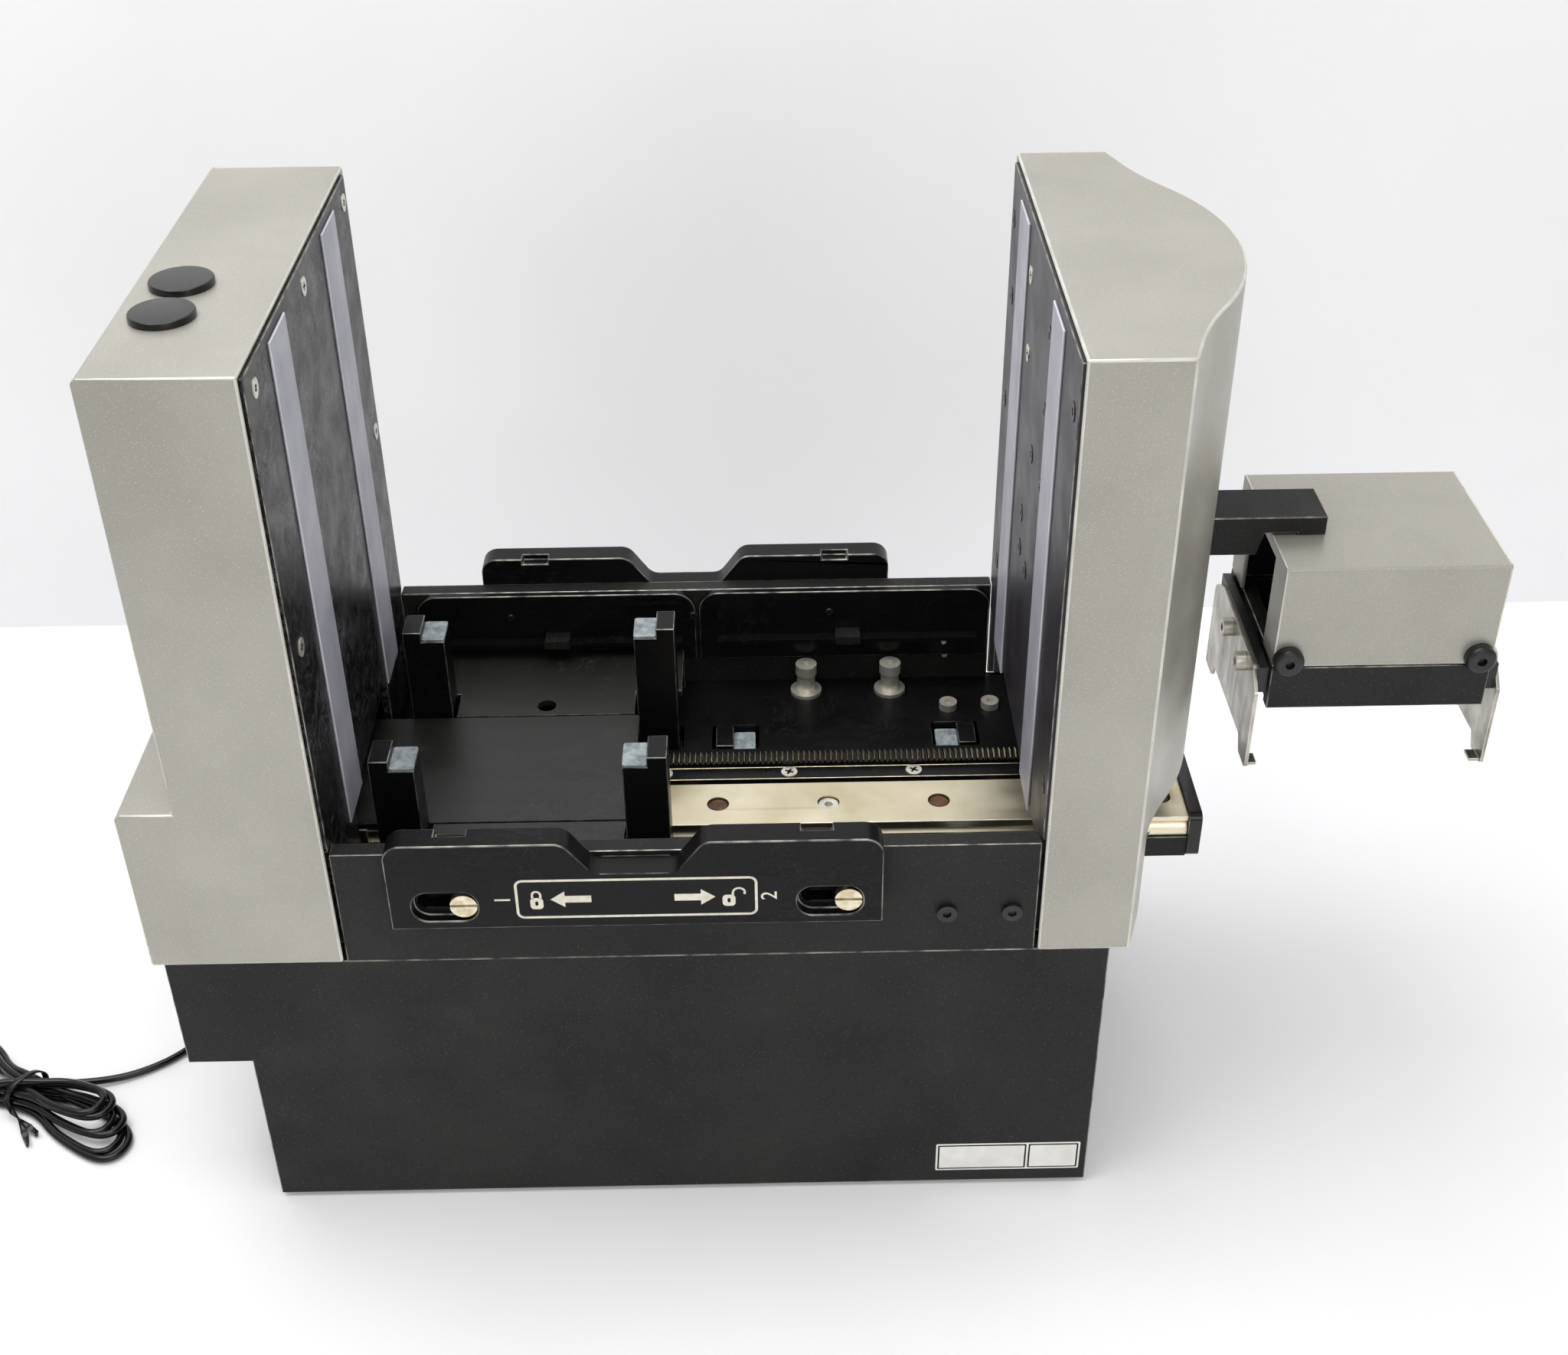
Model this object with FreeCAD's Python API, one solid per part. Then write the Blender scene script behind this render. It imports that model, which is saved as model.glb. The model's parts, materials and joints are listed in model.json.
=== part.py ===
import FreeCAD, Part

import math
import os

# Microplate stacker: a black base with two plate bays between two silver towers.
# Lengths are millimetres. X runs to the right, Y to the back, Z up. The layout is measured from
# the inner face of the left tower, the front of the towers and the lower edge of the base.
# The last step moves everything so that the origin is in the middle of the footprint, on the bench.
V = FreeCAD.Vector

# Towers and the space between them.
BAY_WIDTH = 235.0
TOWER_DEPTH = 169.7
TOWER_TOP = 331.5
TOWER_FOOT = 114.8
COVER_SHEET = 1.5
LEFT_TOWER_WIDTH = 46.0
STEP_OUT = 18.7
STEP_TOP = 179.0
RIGHT_TOWER_WIDTH = 31.0
BULGE_RADIUS = 92.0
BULGE_CENTRE_IN = 31.7
BULGE_BLEND = 9.0
BULGE_FOOT = 150.5
LEG_DEPTH = 18.0
PANEL_THICK = 3.0
PANEL_MARGIN = 2.2
STRIP_WIDTH = 22.5
STRIP_THICK = 0.8
STRIP_LENGTH = 178.0
STRIP_OFFSET = 42.2
STRIP_DROP = 5.0
STRIP_SHIFT = 3.0
PANEL_PROUD = 1.0
PANEL_SCREW_HEAD = (3.1, 0.3)
PANEL_SCREW_SHANK = (2.9, 1.5)
PLUG = (10.0, 8.0, 2.2)
PLUG_INSET = 15.5
PLUG_ROWS = (41.6, 65.8)
CARRIER_WAY = (44.0, 118.0)
UPRIGHT = (32.0, 16.0, 2.0)
UPRIGHT_INSET = 12.0
RIGHT_UPRIGHT = 3.0

# Screws of the inner plates: the place in Y and the drop below the tower's top. First those near
# the front or, below zero, near the back, and then those measured from the tower's middle.
LEFT_PANEL_SCREWS = ([(13.0, 9.5), (-10.7, 9.5), (13.0, 97.5), (-10.7, 97.5)], [(1.15, 9.5)])
RIGHT_PANEL_SCREWS = (
    [(10.0, 19.5), (-9.7, 19.5), (-15.7, 45.5), (-13.7, 86.5), (10.0, 153.5), (-17.7, 153.5)],
    [
        (-22.85, 19.5), (25.15, 19.5), (-22.85, 45.5), (21.15, 45.5), (-24.85, 71.5), (-1.85, 71.5),
        (12.15, 101.5), (-4.85, 114.5), (11.15, 114.5),
    ],
)

# Base.
BASE_LEFT = -38.5
BASE_OUT = 24.7
BASE_INSET = 0.85
BASE_SHEET = 2.0
LEDGE_OUT = 22.4
LEDGE_FOOT = 68.2
FLANGE = 9.0
FOOT_HEIGHT = 2.0
FOOT_RADIUS = 8.0
FOOT_INSET = 15.0
DECK_THICK = 2.7
SHEET_FIT = 0.2
FOOT_STEM = 2.5
REAR_PANEL = (12.0, 120.0, 10.0, 44.0)
SOCKETS = ((40.5, 19.0, 11.0), (70.5, 19.0, 11.0), (100.5, 12.0, 14.0))
SOCKET_DEPTH = 8.0
SOCKET_OUT = 4.0
SOCKET_WALL = 1.5
BOARD = (136.0, 46.0, 1.6)
BOARD_AT = (16.0, 14.0)
BOARD_PILLAR = (3.0, 6.0)
CHIP = (18.0, 18.0, 2.4)

# Screws in the deck, from the left tower and the bays' middle, and the tall shouldered ones, from
# the left tower and the back. An X below zero is measured from the right tower.
DECK_SCREWS = [(-18.6, 57.5), (-2.0, 57.9), (-13.0, -52.5), (14.0, -62.5), (30.0, -62.5)]
DECK_SCREW_HEAD = (3.5, 3.0)
STANDOFFS = [(-74.6, 16.7), (-41.1, 16.7)]
STANDOFF_FLANGE = (6.2, 1.5)
STANDOFF_COLLAR = (3.6, 7.5)
STANDOFF_HEAD = (4.2, 4.4)
SMALL_SHANK = (1.9, 5.0)
SMALL_SOCKET = 1.6

# Bay walls and floor.
WALL_TOP = 160.6
WALL_THICK = 6.5
LINER_THICK = 3.0
LINER_FOOT = 130.0
LINER_CORNER = 8.0
LINER_OUT = 53.0
LINER_GAP = 1.6
WALL_SCREWS = (-31.4, -9.6)
WALL_SCREW_DROP = 28.5
WALL_SCREW_HEAD = (3.4, 1.6)
FLOOR_TOP = 134.5
FLOOR_THICK = 2.5

# Plate bays and lifters.
BAY_PITCH = 115.0
BAY_MIDDLE_Y = 82.5
PAD = (8.4, 13.0, 1.0)
PAD_OFFSET_X = 39.4
POST_OFFSET_Y = 40.0
LIP = (6.9, 3.0)
LIFT_TRAVEL = 54.0
RAISED_PAD_TOP = 169.0
CROSS_PLATE = (104.0, 94.0, 6.0)
POST_LENGTH = 57.0
POCKET_GAP = 1.5
FLOOR_GAP = 1.2
TONGUE_GAP = 0.8
FLOOR_HOLE = (3.6, 7.0)
NUT = (13.0, 3.0, 8.9)
SHAFT_RADIUS = 4.0
SCREW_RADIUS = 4.0
SHAFT_OFFSET_Y = 33.0
RUNNING_GAP = 0.05
MOTOR_SIDE = 42.3
MOTOR_LENGTH = 33.0
MOTOR_CORNER = 4.0
MOTOR_PILOT = (11.0, 2.0)

# Carrier drive: a wide rail, a block that wraps it, a rack and a pinion.
RAIL_MIDDLE_Y = 65.0
RAIL_WIDTH = 24.0
RAIL_HEIGHT = 8.5
RAIL_LEFT = -52.0
RAIL_OUT = 60.0
RAIL_HOLE_PITCH = 40.0
RAIL_HOLE_AT = 6.3
RAIL_HOLE = (2.25, 4.0, 4.5)
RAIL_SCREW_HEAD = (3.6, 3.6)
GROOVE = (1.2, 3.2, 6.6)
SUPPORT_THICK = 3.3
SUPPORT_FRONT = 52.0
SUPPORT_BACK = 98.0
BEAM_DROP = 5.5
END_CAP = (4.5, 46.0, 19.0)
BLOCK = (46.0, 30.0)
BLOCK_GAP = 0.3
BLOCK_FLOOR_GAP = 3.4
RACK_FRONT = 84.0
RACK_TEETH_FRONT = 91.0
RACK_BACK = 97.0
RACK_LEDGE = 5.2
RACK_SCREW_AT = 152.5
RACK_SCREW_PITCH = 46.4
RACK_SCREW_HEAD = (3.0, 0.6)
RACK_SCREW_SHANK = 1.7
RACK_END = 0.5
TOOTH_PITCH = 2.032
TOOTH_HEIGHT = 1.3
TOOTH_SHARE = 0.40
TOOTH_TAPER = 0.09
PINION_TEETH = 20
PINION_LIFT = 0.12
RACK_TOP = 129.1
CARRIER_WIDTH = 64.0
NEST_LENGTH = 72.0
CARRIER_MOTOR_RADIUS = 12.5
CARRIER_MOTOR_LENGTH = 14.5
MOTOR_EAR = 2.0
EAR_GAP = 0.6
EAR = (9.5, 12.0)
PINION_SHAFT = 1.5
PINION_WINDOW = 1.5
PINION_X = -35.0
BLOCK_X = -21.0

# Lock plates on the two long walls.
LOCK_LENGTH = 160.9
LOCK_FOOT = 137.0
LOCK_TOP = 171.5
LOCK_VALLEY = 159.0
LOCK_THICK = 9.5
LOCK_GAP = 0.35
LOCK_TRAVEL = 12.0
LOCK_LEFT = 20.6
LOBE_WIDTH = 58.0
LOCK_CORNER = 6.0
NOTCH = (10.0, 2.2)
NOTCH_OFFSET = 21.4
LOCK_SLOT = (21.5, 12.0, 3.6)
LOCK_SLOT_AT = (7.4, 132.9)
LOCK_SLOT_MIDDLE = 146.2
LOCK_SCREW_HEAD = (4.5, 3.0)
LOCK_SCREW_SHANK = 2.5
LOCK_SCREW_SLIT = (1.0, 1.1)
LOCK_SCREW_SUNK = 0.3
LOBE_LEAN = 9.0
LOCK_BEND = 4.5
NOTCH_DEPTH = 4.0

# Gripper.
GRIP_OUT = 117.8
HEAD = (74.3, 66.0)
HEAD_MIDDLE_Y = 84.0
HEAD_DROP = 7.0
HEAD_COVER_TALL = 38.5
HEAD_BARS_TALL = 16.9
HEAD_SHEET = 1.5
HEAD_FOLD = 1.2
HEAD_FLANGE = 15.0
HEAD_FLANGE_TOP = 3.0
HEAD_INSET = 1.0
HEAD_WALL = 4.0
HEAD_FLOOR = 2.0
FRAME_BAR = 5.0
ARM_TOP = 240.0
ARM_WIDTH = 20.0
ARM_THICK = 6.0
ARM_RIB = 8.4
ARM_SHORT = 19.3
RIB_SHORT = 39.8
ARM_MIDDLE_Y = 83.0
SLOT_SIDE_GAP = 1.2
GRIP_DOWN = 60.0
GRIP_UP = 45.0
CARRIAGE = (26.0, 84.0, 30.0)
CARRIAGE_ABOVE = 6.0
TOWER_SCREW_IN = 27.0
TOWER_SHAFT_OFFSET = 34.0
BRIDGE_THICK = 3.5
CLAW_OFFSET = 41.3
CLAW_SHEET = 1.2
CLAW_DEPTH = 68.0
CLAW_RISE = 9.4
CLAW_SHOULDER = 28.5
CLAW_TALL = 34.0
CLAW_HOOK = 4.0
FINGER_WIDTH = 10.0
CLAW_TRAVEL = 5.0
SIDE_BAR = (3.2, 62.0, 10.0)
SIDE_BAR_RISE = 10.4
KNOB_RADIUS = 5.2
KNOB_HEIGHT = 4.0
KNOB_OFFSET = 32.4
KNOB_RISE = 3.2
KNOB_SHANK = (2.1, 7.0)
KNOB_ROUND = 1.8
CLAW_HEM = 4.5
CLAW_SCREW = (3.4, 3.4, 1.9)
CLAW_SCREWS = (6.0, -16.0)
CLAW_SCREW_DROP = 1.0
GRIP_BAR = 6.0
GRIP_BAR_REACH = 14.0
GRIP_AXLE = 1.5
GRIP_PINION_TEETH = 12
GRIP_PINION_FACE = 5.0

# Lead: from the rear gland over the bench to a tied hank beside the base.
CORD_RADIUS = 1.5
GLAND_NECK = 3.9
GLAND_FLANGE = (5.5, 2.0)
GLAND_SLEEVE = (3.6, 2.3, 20.0)
GLAND_AT = (-12.0, 22.0)
HANK_AT = (-150.0, 53.0)
HANK_TURN = 158.0
HANK = (116.0, 44.0, 13.0)
HANK_WAIST = 16.0
TIE_THICK = 1.0
TIE_WIDTH = 4.0
TIE_TAIL = 0.9
LEAD_PLUG = (4.4, 24.0, 2.7, 9.5)

# Levels that follow from the sizes above.
deck_top = TOWER_FOOT + DECK_THICK
support_top = deck_top + SUPPORT_THICK
rail_top = support_top + RAIL_HEIGHT
block_top = FLOOR_TOP - FLOOR_THICK
base_back = TOWER_DEPTH - BASE_INSET
base_right = BAY_WIDTH + BASE_OUT
rail_right = BAY_WIDTH + RAIL_OUT
bay_centres = ((BAY_WIDTH - BAY_PITCH) / 2, (BAY_WIDTH + BAY_PITCH) / 2)
tower_screw_x = BAY_WIDTH + TOWER_SCREW_IN
grip_x = BAY_WIDTH + GRIP_OUT
arm_end = grip_x - ARM_SHORT
rib_end = grip_x - RIB_SHORT
head_top = ARM_TOP - HEAD_DROP
head_cover_foot = head_top - HEAD_COVER_TALL
head_foot = head_cover_foot - HEAD_BARS_TALL
side_bar_middle = head_foot + SIDE_BAR_RISE
claw_top = head_foot + CLAW_RISE
claw_edge = claw_top - CLAW_SHOULDER
claw_tip = claw_top - CLAW_TALL
ledge_left = BASE_LEFT - LEDGE_OUT
wall_inner = BASE_INSET + WALL_THICK
pinion_radius = PINION_TEETH * TOOTH_PITCH / (2 * math.pi)
grip_pinion_radius = GRIP_PINION_TEETH * TOOTH_PITCH / (2 * math.pi)
pitch_level = RACK_TOP - TOOTH_HEIGHT / 2
pinion_level = pitch_level + pinion_radius + PINION_LIFT
tunnel_top = BULGE_FOOT
bridge_top = tunnel_top + BRIDGE_THICK
beam_foot = deck_top - BEAM_DROP
cover_top = TOWER_TOP + 1
far = 60.0
tower_back_x = BAY_WIDTH + RIGHT_TOWER_WIDTH
claw_out = CLAW_OFFSET + CLAW_SHEET / 2
left_most = -LEFT_TOWER_WIDTH - STEP_OUT
right_most = grip_x + claw_out + CLAW_SCREW[1]
lock_front = BASE_INSET - LOCK_GAP - LOCK_THICK
lock_back = base_back + LOCK_GAP + LOCK_THICK
origin = V((left_most + right_most) / 2, (lock_front + lock_back) / 2, -FOOT_HEIGHT)


# Shape helpers.
def box(x, y, z):
    """A block between a low and a high value on each axis."""
    return Part.makeBox(x[1] - x[0], y[1] - y[0], z[1] - z[0], V(x[0], y[0], z[0]))


def around(middle, size):
    """The low and the high value of a size centred on a middle."""
    return middle - size / 2, middle + size / 2


def rod(radius, start, end):
    """A round bar between two points."""
    start, end = V(*start), V(*end)
    return Part.makeCylinder(radius, (end - start).Length, start, end - start)


def join(*shapes):
    """Several shapes as one solid."""
    return shapes[0].multiFuse(list(shapes[1:])).removeSplitter()


def cut(shape, *tools):
    """A shape with each tool taken out of it."""
    for tool in tools:
        shape = shape.cut(tool)
    return shape


def wire(points, place):
    """A closed outline. A point with a third number has its corner rounded by that radius."""
    corners = []
    count = len(points)
    for i, point in enumerate(points):
        here = V(point[0], point[1], 0)
        before = V(*points[i - 1][:2], 0) - here
        after = V(*points[(i + 1) % count][:2], 0) - here
        radius = point[2] if len(point) > 2 else 0
        if not radius:
            corners.append((here, here, here))
            continue
        before.normalize()
        after.normalize()
        half = before.getAngle(after) / 2
        reach = radius / math.tan(half)
        middle_way = before + after
        middle_way.normalize()
        middle = here + middle_way * (radius / math.sin(half) - radius)
        corners.append((here + before * reach, middle, here + after * reach))
    edges = []
    for i, (start, middle, end) in enumerate(corners):
        if (end - start).Length > 1e-6:
            edges.append(Part.Arc(place(start), place(middle), place(end)).toShape())
        following = corners[(i + 1) % count][0]
        if (following - end).Length > 1e-6:
            edges.append(Part.LineSegment(place(end), place(following)).toShape())
    return Part.Wire(edges)


def plate(points, place, along):
    """A flat piece: an outline, extruded along a vector."""
    return Part.Face(wire(points, place)).extrude(along)


def on_front(y):
    """Places an outline of (x, z) points at a depth."""
    return lambda p: V(p.x, y, p.y)


def on_side(x):
    """Places an outline of (y, z) points at a width."""
    return lambda p: V(x, p.x, p.y)


def on_top(z):
    """Places an outline of (x, y) points at a height."""
    return lambda p: V(p.x, p.y, z)


def rectangle(x, y, radius=0):
    """The four corners of an outline, all rounded alike."""
    return [(x[0], y[0], radius), (x[1], y[0], radius), (x[1], y[1], radius), (x[0], y[1], radius)]


def cap_screw(at, way, head, shank, socket=0, sides=6):
    """A screw with a round head that stands out along way; head and shank are (radius, length)."""
    base, way = V(*at), V(*way)
    shape = Part.makeCylinder(head[0], head[1], base, way)
    shape = shape.fuse(Part.makeCylinder(shank[0], shank[1], base, way * -1))
    if socket:
        side = V(0, 0, 1) if abs(way.z) < 0.5 else V(1, 0, 0)
        turn = FreeCAD.Rotation(way, 360 / sides)
        corners = [side * socket]
        for _ in range(sides - 1):
            corners.append(turn.multVec(corners[-1]))
        floor = base + way * (head[1] * 0.4)
        ring = Part.makePolygon([floor + c for c in corners] + [floor + corners[0]])
        shape = shape.cut(Part.Face(ring).extrude(way * head[1]))
    return shape


def measured(value, whole):
    """A place along a length. A value below zero is measured from its far end."""
    return value if value >= 0 else whole + value


def spaced(at, pitch, ends, margin):
    """Every place that is a whole number of pitches from one place and inside both ends."""
    first = math.ceil((ends[0] + margin - at) / pitch)
    last = math.floor((ends[1] - margin - at) / pitch)
    return [at + i * pitch for i in range(first, last + 1)]


def motor(x, y, foot):
    """A square stepping motor that stands on its back, with its shaft up."""
    half = MOTOR_SIDE / 2
    outline = rectangle((x - half, x + half), (y - half, y + half), MOTOR_CORNER)
    body = plate(outline, on_top(foot), V(0, 0, MOTOR_LENGTH))
    top = foot + MOTOR_LENGTH
    pilot = rod(MOTOR_PILOT[0], (x, y, top), (x, y, top + MOTOR_PILOT[1]))
    return join(body, pilot)


def tooth_row(start, count, root):
    """Outline points of straight teeth along X above a root level, from left to right."""
    points = []
    for i in range(count):
        middle = start + i * TOOTH_PITCH
        for side, level in ((-1, 0), (-1, 1), (1, 1), (1, 0)):
            half = TOOTH_PITCH * (TOOTH_SHARE / 2 + TOOTH_TAPER * (1 - 2 * level))
            points.append((middle + side * half, root + level * TOOTH_HEIGHT))
    return points


def gear(teeth, width, bore):
    """A spur gear about the Z axis, with a gap between two teeth facing -Y."""
    radius = teeth * TOOTH_PITCH / (2 * math.pi)
    points = []
    for i in range(teeth):
        middle = -math.pi / 2 + (i + 0.5) * 2 * math.pi / teeth
        for side, level in ((-1, -1), (-1, 1), (1, 1), (1, -1)):
            reach = radius + level * TOOTH_HEIGHT / 2
            half = TOOTH_PITCH * (TOOTH_SHARE / 2 - TOOTH_TAPER * level) / radius
            angle = middle + side * half
            points.append((reach * math.cos(angle), reach * math.sin(angle)))
    wheel = plate(points, on_top(0), V(0, 0, width))
    return wheel.cut(rod(bore, (0, 0, 0), (0, 0, width)))


# Base.
def base_outline(inset):
    """The base seen from the front: a tall box with a ledge at its upper left."""
    return [
        (BASE_LEFT + inset, 0),
        (base_right - inset, 0),
        (base_right - inset, TOWER_FOOT),
        (ledge_left + inset, TOWER_FOOT),
        (ledge_left + inset, LEDGE_FOOT + inset),
        (BASE_LEFT + inset, LEDGE_FOOT + inset),
    ]


def base_enclosure():
    """A folded sheet case, open below, with flanges round its top that carry the deck."""
    outer = plate(base_outline(0), on_front(BASE_INSET), V(0, base_back - BASE_INSET, 0))
    depth = base_back - BASE_INSET - 2 * BASE_SHEET
    inner = plate(base_outline(BASE_SHEET), on_front(BASE_INSET + BASE_SHEET), V(0, depth, 0))
    shell = outer.cut(inner)
    rim = BASE_SHEET + FLANGE
    top = box(
        (ledge_left + BASE_SHEET, base_right - BASE_SHEET),
        (BASE_INSET + BASE_SHEET, base_back - BASE_SHEET),
        (TOWER_FOOT - BASE_SHEET, TOWER_FOOT),
    )
    hole = box((ledge_left + rim, base_right - rim), (BASE_INSET + rim, base_back - rim), (0, TOWER_FOOT))
    window = box(rear_panel_x(), (base_back - BASE_SHEET, base_back), rear_panel_z())
    return shell.fuse(top.cut(hole)).cut(window).removeSplitter()


def rear_panel_x():
    return BASE_LEFT + REAR_PANEL[0], BASE_LEFT + REAR_PANEL[0] + REAR_PANEL[1]


def rear_panel_z():
    return REAR_PANEL[2], REAR_PANEL[2] + REAR_PANEL[3]


def base_plate():
    """The bottom of the base, inside the case, drilled for the feet and the lifters' shafts."""
    inside = BASE_SHEET + SHEET_FIT
    sheet = box(
        (BASE_LEFT + inside, base_right - inside), (BASE_INSET + inside, base_back - inside), (0, BASE_SHEET)
    )
    holes = [rod(FOOT_STEM, (x, y, 0), (x, y, BASE_SHEET)) for x, y in foot_places()]
    return cut(sheet, *holes)


def foot_places():
    return [
        (x, y)
        for x in (BASE_LEFT + FOOT_INSET, base_right - FOOT_INSET)
        for y in (BASE_INSET + FOOT_INSET, base_back - FOOT_INSET)
    ]


def rubber_feet():
    """Four turned feet, each with a stem that plugs into the bottom plate."""
    feet = []
    for x, y in foot_places():
        pad = Part.makeCone(FOOT_RADIUS - 1, FOOT_RADIUS, FOOT_HEIGHT, V(x, y, -FOOT_HEIGHT))
        feet.append(pad.fuse(rod(FOOT_STEM - RUNNING_GAP, (x, y, 0), (x, y, BASE_SHEET))))
    return feet


def post_places(bay):
    """The middles of a lifter's four posts, and which way their lips face."""
    return [
        (bay + side * (PAD_OFFSET_X + LIP[0] / 2), BAY_MIDDLE_Y + end * POST_OFFSET_Y, side)
        for side in (-1, 1)
        for end in (-1, 1)
    ]


def post_size():
    return PAD[0] + LIP[0], PAD[1]


def deck_plate():
    """The plate that closes the top of the base, with a pocket for each lifter post."""
    side = BASE_SHEET + SHEET_FIT
    deck = box(
        (ledge_left + side, base_right - side),
        (wall_inner + SHEET_FIT / 2, base_back - WALL_THICK - SHEET_FIT / 2),
        (TOWER_FOOT, deck_top),
    )
    pockets = []
    for bay in bay_centres:
        for x, y, _ in post_places(bay):
            wide, deep = post_size()
            pocket = rectangle(around(x, wide + 2 * POCKET_GAP), around(y, deep + 2 * POCKET_GAP), 1.5)
            pockets.append(plate(pocket, on_top(TOWER_FOOT), V(0, 0, DECK_THICK)))
    hole = SMALL_SHANK[0] + 2 * RUNNING_GAP
    screw_holes = [
        rod(hole, (x, y, TOWER_FOOT), (x, y, deck_top)) for x, y in deck_screw_places() + standoff_places()
    ]
    return cut(deck, *pockets, *screw_holes)


def deck_screw_places():
    return [(measured(x, BAY_WIDTH), BAY_MIDDLE_Y + y) for x, y in DECK_SCREWS]


def standoff_places():
    return [(measured(x, BAY_WIDTH), TOWER_DEPTH - y) for x, y in STANDOFFS]


def wall_screw_places():
    return [(measured(x, BAY_WIDTH), WALL_TOP - WALL_SCREW_DROP) for x in WALL_SCREWS]


def long_wall(front):
    """One of the two long walls between the towers."""
    y = BASE_INSET if front else base_back - WALL_THICK
    end = PANEL_PROUD + 2 * RUNNING_GAP
    wall = box((end, BAY_WIDTH - end), (y, y + WALL_THICK), (TOWER_FOOT, WALL_TOP))
    holes = []
    for x in lock_screw_places(front):
        holes.append(rod(LOCK_SCREW_SHANK, (x, y, LOCK_SLOT_MIDDLE), (x, y + WALL_THICK, LOCK_SLOT_MIDDLE)))
    if front:
        hole = SMALL_SHANK[0] + 2 * RUNNING_GAP
        holes += [rod(hole, (x, y, z), (x, y + WALL_THICK, z)) for x, z in wall_screw_places()]
    return cut(wall, *holes)


def back_liners():
    """Two plates with round top corners on the inside of the back wall."""
    y = base_back - WALL_THICK - LINER_THICK
    middle = sum(bay_centres) / 2
    gap = LINER_GAP / 2
    sides = ((bay_centres[0] - LINER_OUT, middle - gap), (middle + gap, BAY_WIDTH - PANEL_PROUD - gap))
    liners = []
    for low, high in sides:
        outline = [
            (low, LINER_FOOT), (high, LINER_FOOT),
            (high, WALL_TOP, LINER_CORNER), (low, WALL_TOP, LINER_CORNER),
        ]
        liners.append(plate(outline, on_front(y), V(0, LINER_THICK, 0)))
    return liners


def bay_floor_plates():
    """Two fixed plates before and behind the carrier, each on a folded leg that stands on the deck."""
    bay = bay_centres[0]
    tongue = CARRIER_WIDTH / 2
    between = PAD_OFFSET_X - PAD[0] / 2 - FLOOR_GAP
    outer = PAD_OFFSET_X + PAD[0] / 2 + LIP[0] + FLOOR_GAP
    notch = POST_OFFSET_Y + PAD[1] / 2 + FLOOR_GAP
    edges = ((-1, wall_inner + BLOCK_GAP), (1, base_back - WALL_THICK - LINER_THICK - BLOCK_GAP))
    plates = []
    for side, wall in edges:
        near = BAY_MIDDLE_Y + side * (tongue + TONGUE_GAP)
        far = BAY_MIDDLE_Y + side * notch
        outline = [
            (bay - between, near), (bay + between, near), (bay + between, far),
            (bay + outer, far), (bay + outer, wall), (bay - outer, wall), (bay - outer, far),
            (bay - between, far),
        ]
        top = plate(outline, on_top(block_top), V(0, 0, FLOOR_THICK))
        leg = box(
            (bay - outer, bay + outer), sorted((wall, wall - side * FLOOR_THICK)), (deck_top, FLOOR_TOP)
        )
        plates.append(join(top, leg))
    hole_y = BAY_MIDDLE_Y + tongue + FLOOR_HOLE[1]
    plates[1] = plates[1].cut(rod(FLOOR_HOLE[0], (bay, hole_y, block_top), (bay, hole_y, FLOOR_TOP)))
    return plates


def lock_screw_places(front):
    """The lock plate's two screws stay still; the plate's slots pass over them."""
    clear = LOCK_SLOT[0] - LOCK_SLOT[1] / 2 + 1.3
    first = LOCK_LEFT + LOCK_SLOT_AT[0] + clear
    return [first, first + LOCK_SLOT_AT[1] - LOCK_SLOT_AT[0]]


def body_screws():
    """The black wall screws, the deck's socket screws and the two tall shouldered ones."""
    screws = []
    for x, z in wall_screw_places():
        at = (x, BASE_INSET, z)
        screws.append(cap_screw(at, (0, -1, 0), WALL_SCREW_HEAD, SMALL_SHANK, SMALL_SOCKET))
    for x, y in deck_screw_places():
        at = (x, y, deck_top)
        screws.append(cap_screw(at, (0, 0, 1), DECK_SCREW_HEAD, SMALL_SHANK, SMALL_SOCKET))
    for x, y in standoff_places():
        flange_top = deck_top + STANDOFF_FLANGE[1]
        collar_top = flange_top + STANDOFF_COLLAR[1]
        flange = rod(STANDOFF_FLANGE[0], (x, y, deck_top), (x, y, flange_top))
        collar = rod(STANDOFF_COLLAR[0], (x, y, flange_top), (x, y, collar_top))
        shank = (SMALL_SHANK[0], SMALL_SHANK[1] + collar_top - deck_top)
        head = cap_screw((x, y, collar_top), (0, 0, 1), STANDOFF_HEAD, shank, SMALL_SOCKET * 1.25)
        screws.append(join(flange, collar, head))
    return screws


def rear_panel():
    """The connector plate set in the back of the base."""
    x, z = rear_panel_x(), rear_panel_z()
    y = base_back - BASE_SHEET
    sheet = box((x[0] + SHEET_FIT, x[1] - SHEET_FIT), (y, base_back), (z[0] + SHEET_FIT, z[1] - SHEET_FIT))
    hole = GLAND_NECK + SHEET_FIT / 2
    gland = rod(hole, (GLAND_AT[0], y, GLAND_AT[1]), (GLAND_AT[0], base_back, GLAND_AT[1]))
    return cut(sheet, gland, *[box(*hole) for hole in socket_boxes(SHEET_FIT / 2)])


def socket_boxes(grow=0.0):
    """Where the two data sockets and the rocker switch sit in the rear panel."""
    y = (base_back - SOCKET_DEPTH, base_back + SOCKET_OUT)
    level = sum(rear_panel_z()) / 2
    boxes = []
    for middle, width, height in SOCKETS:
        x = around(rear_panel_x()[0] + middle, width + 2 * grow)
        boxes.append((x, y, around(level, height + 2 * grow)))
    return boxes


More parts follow.
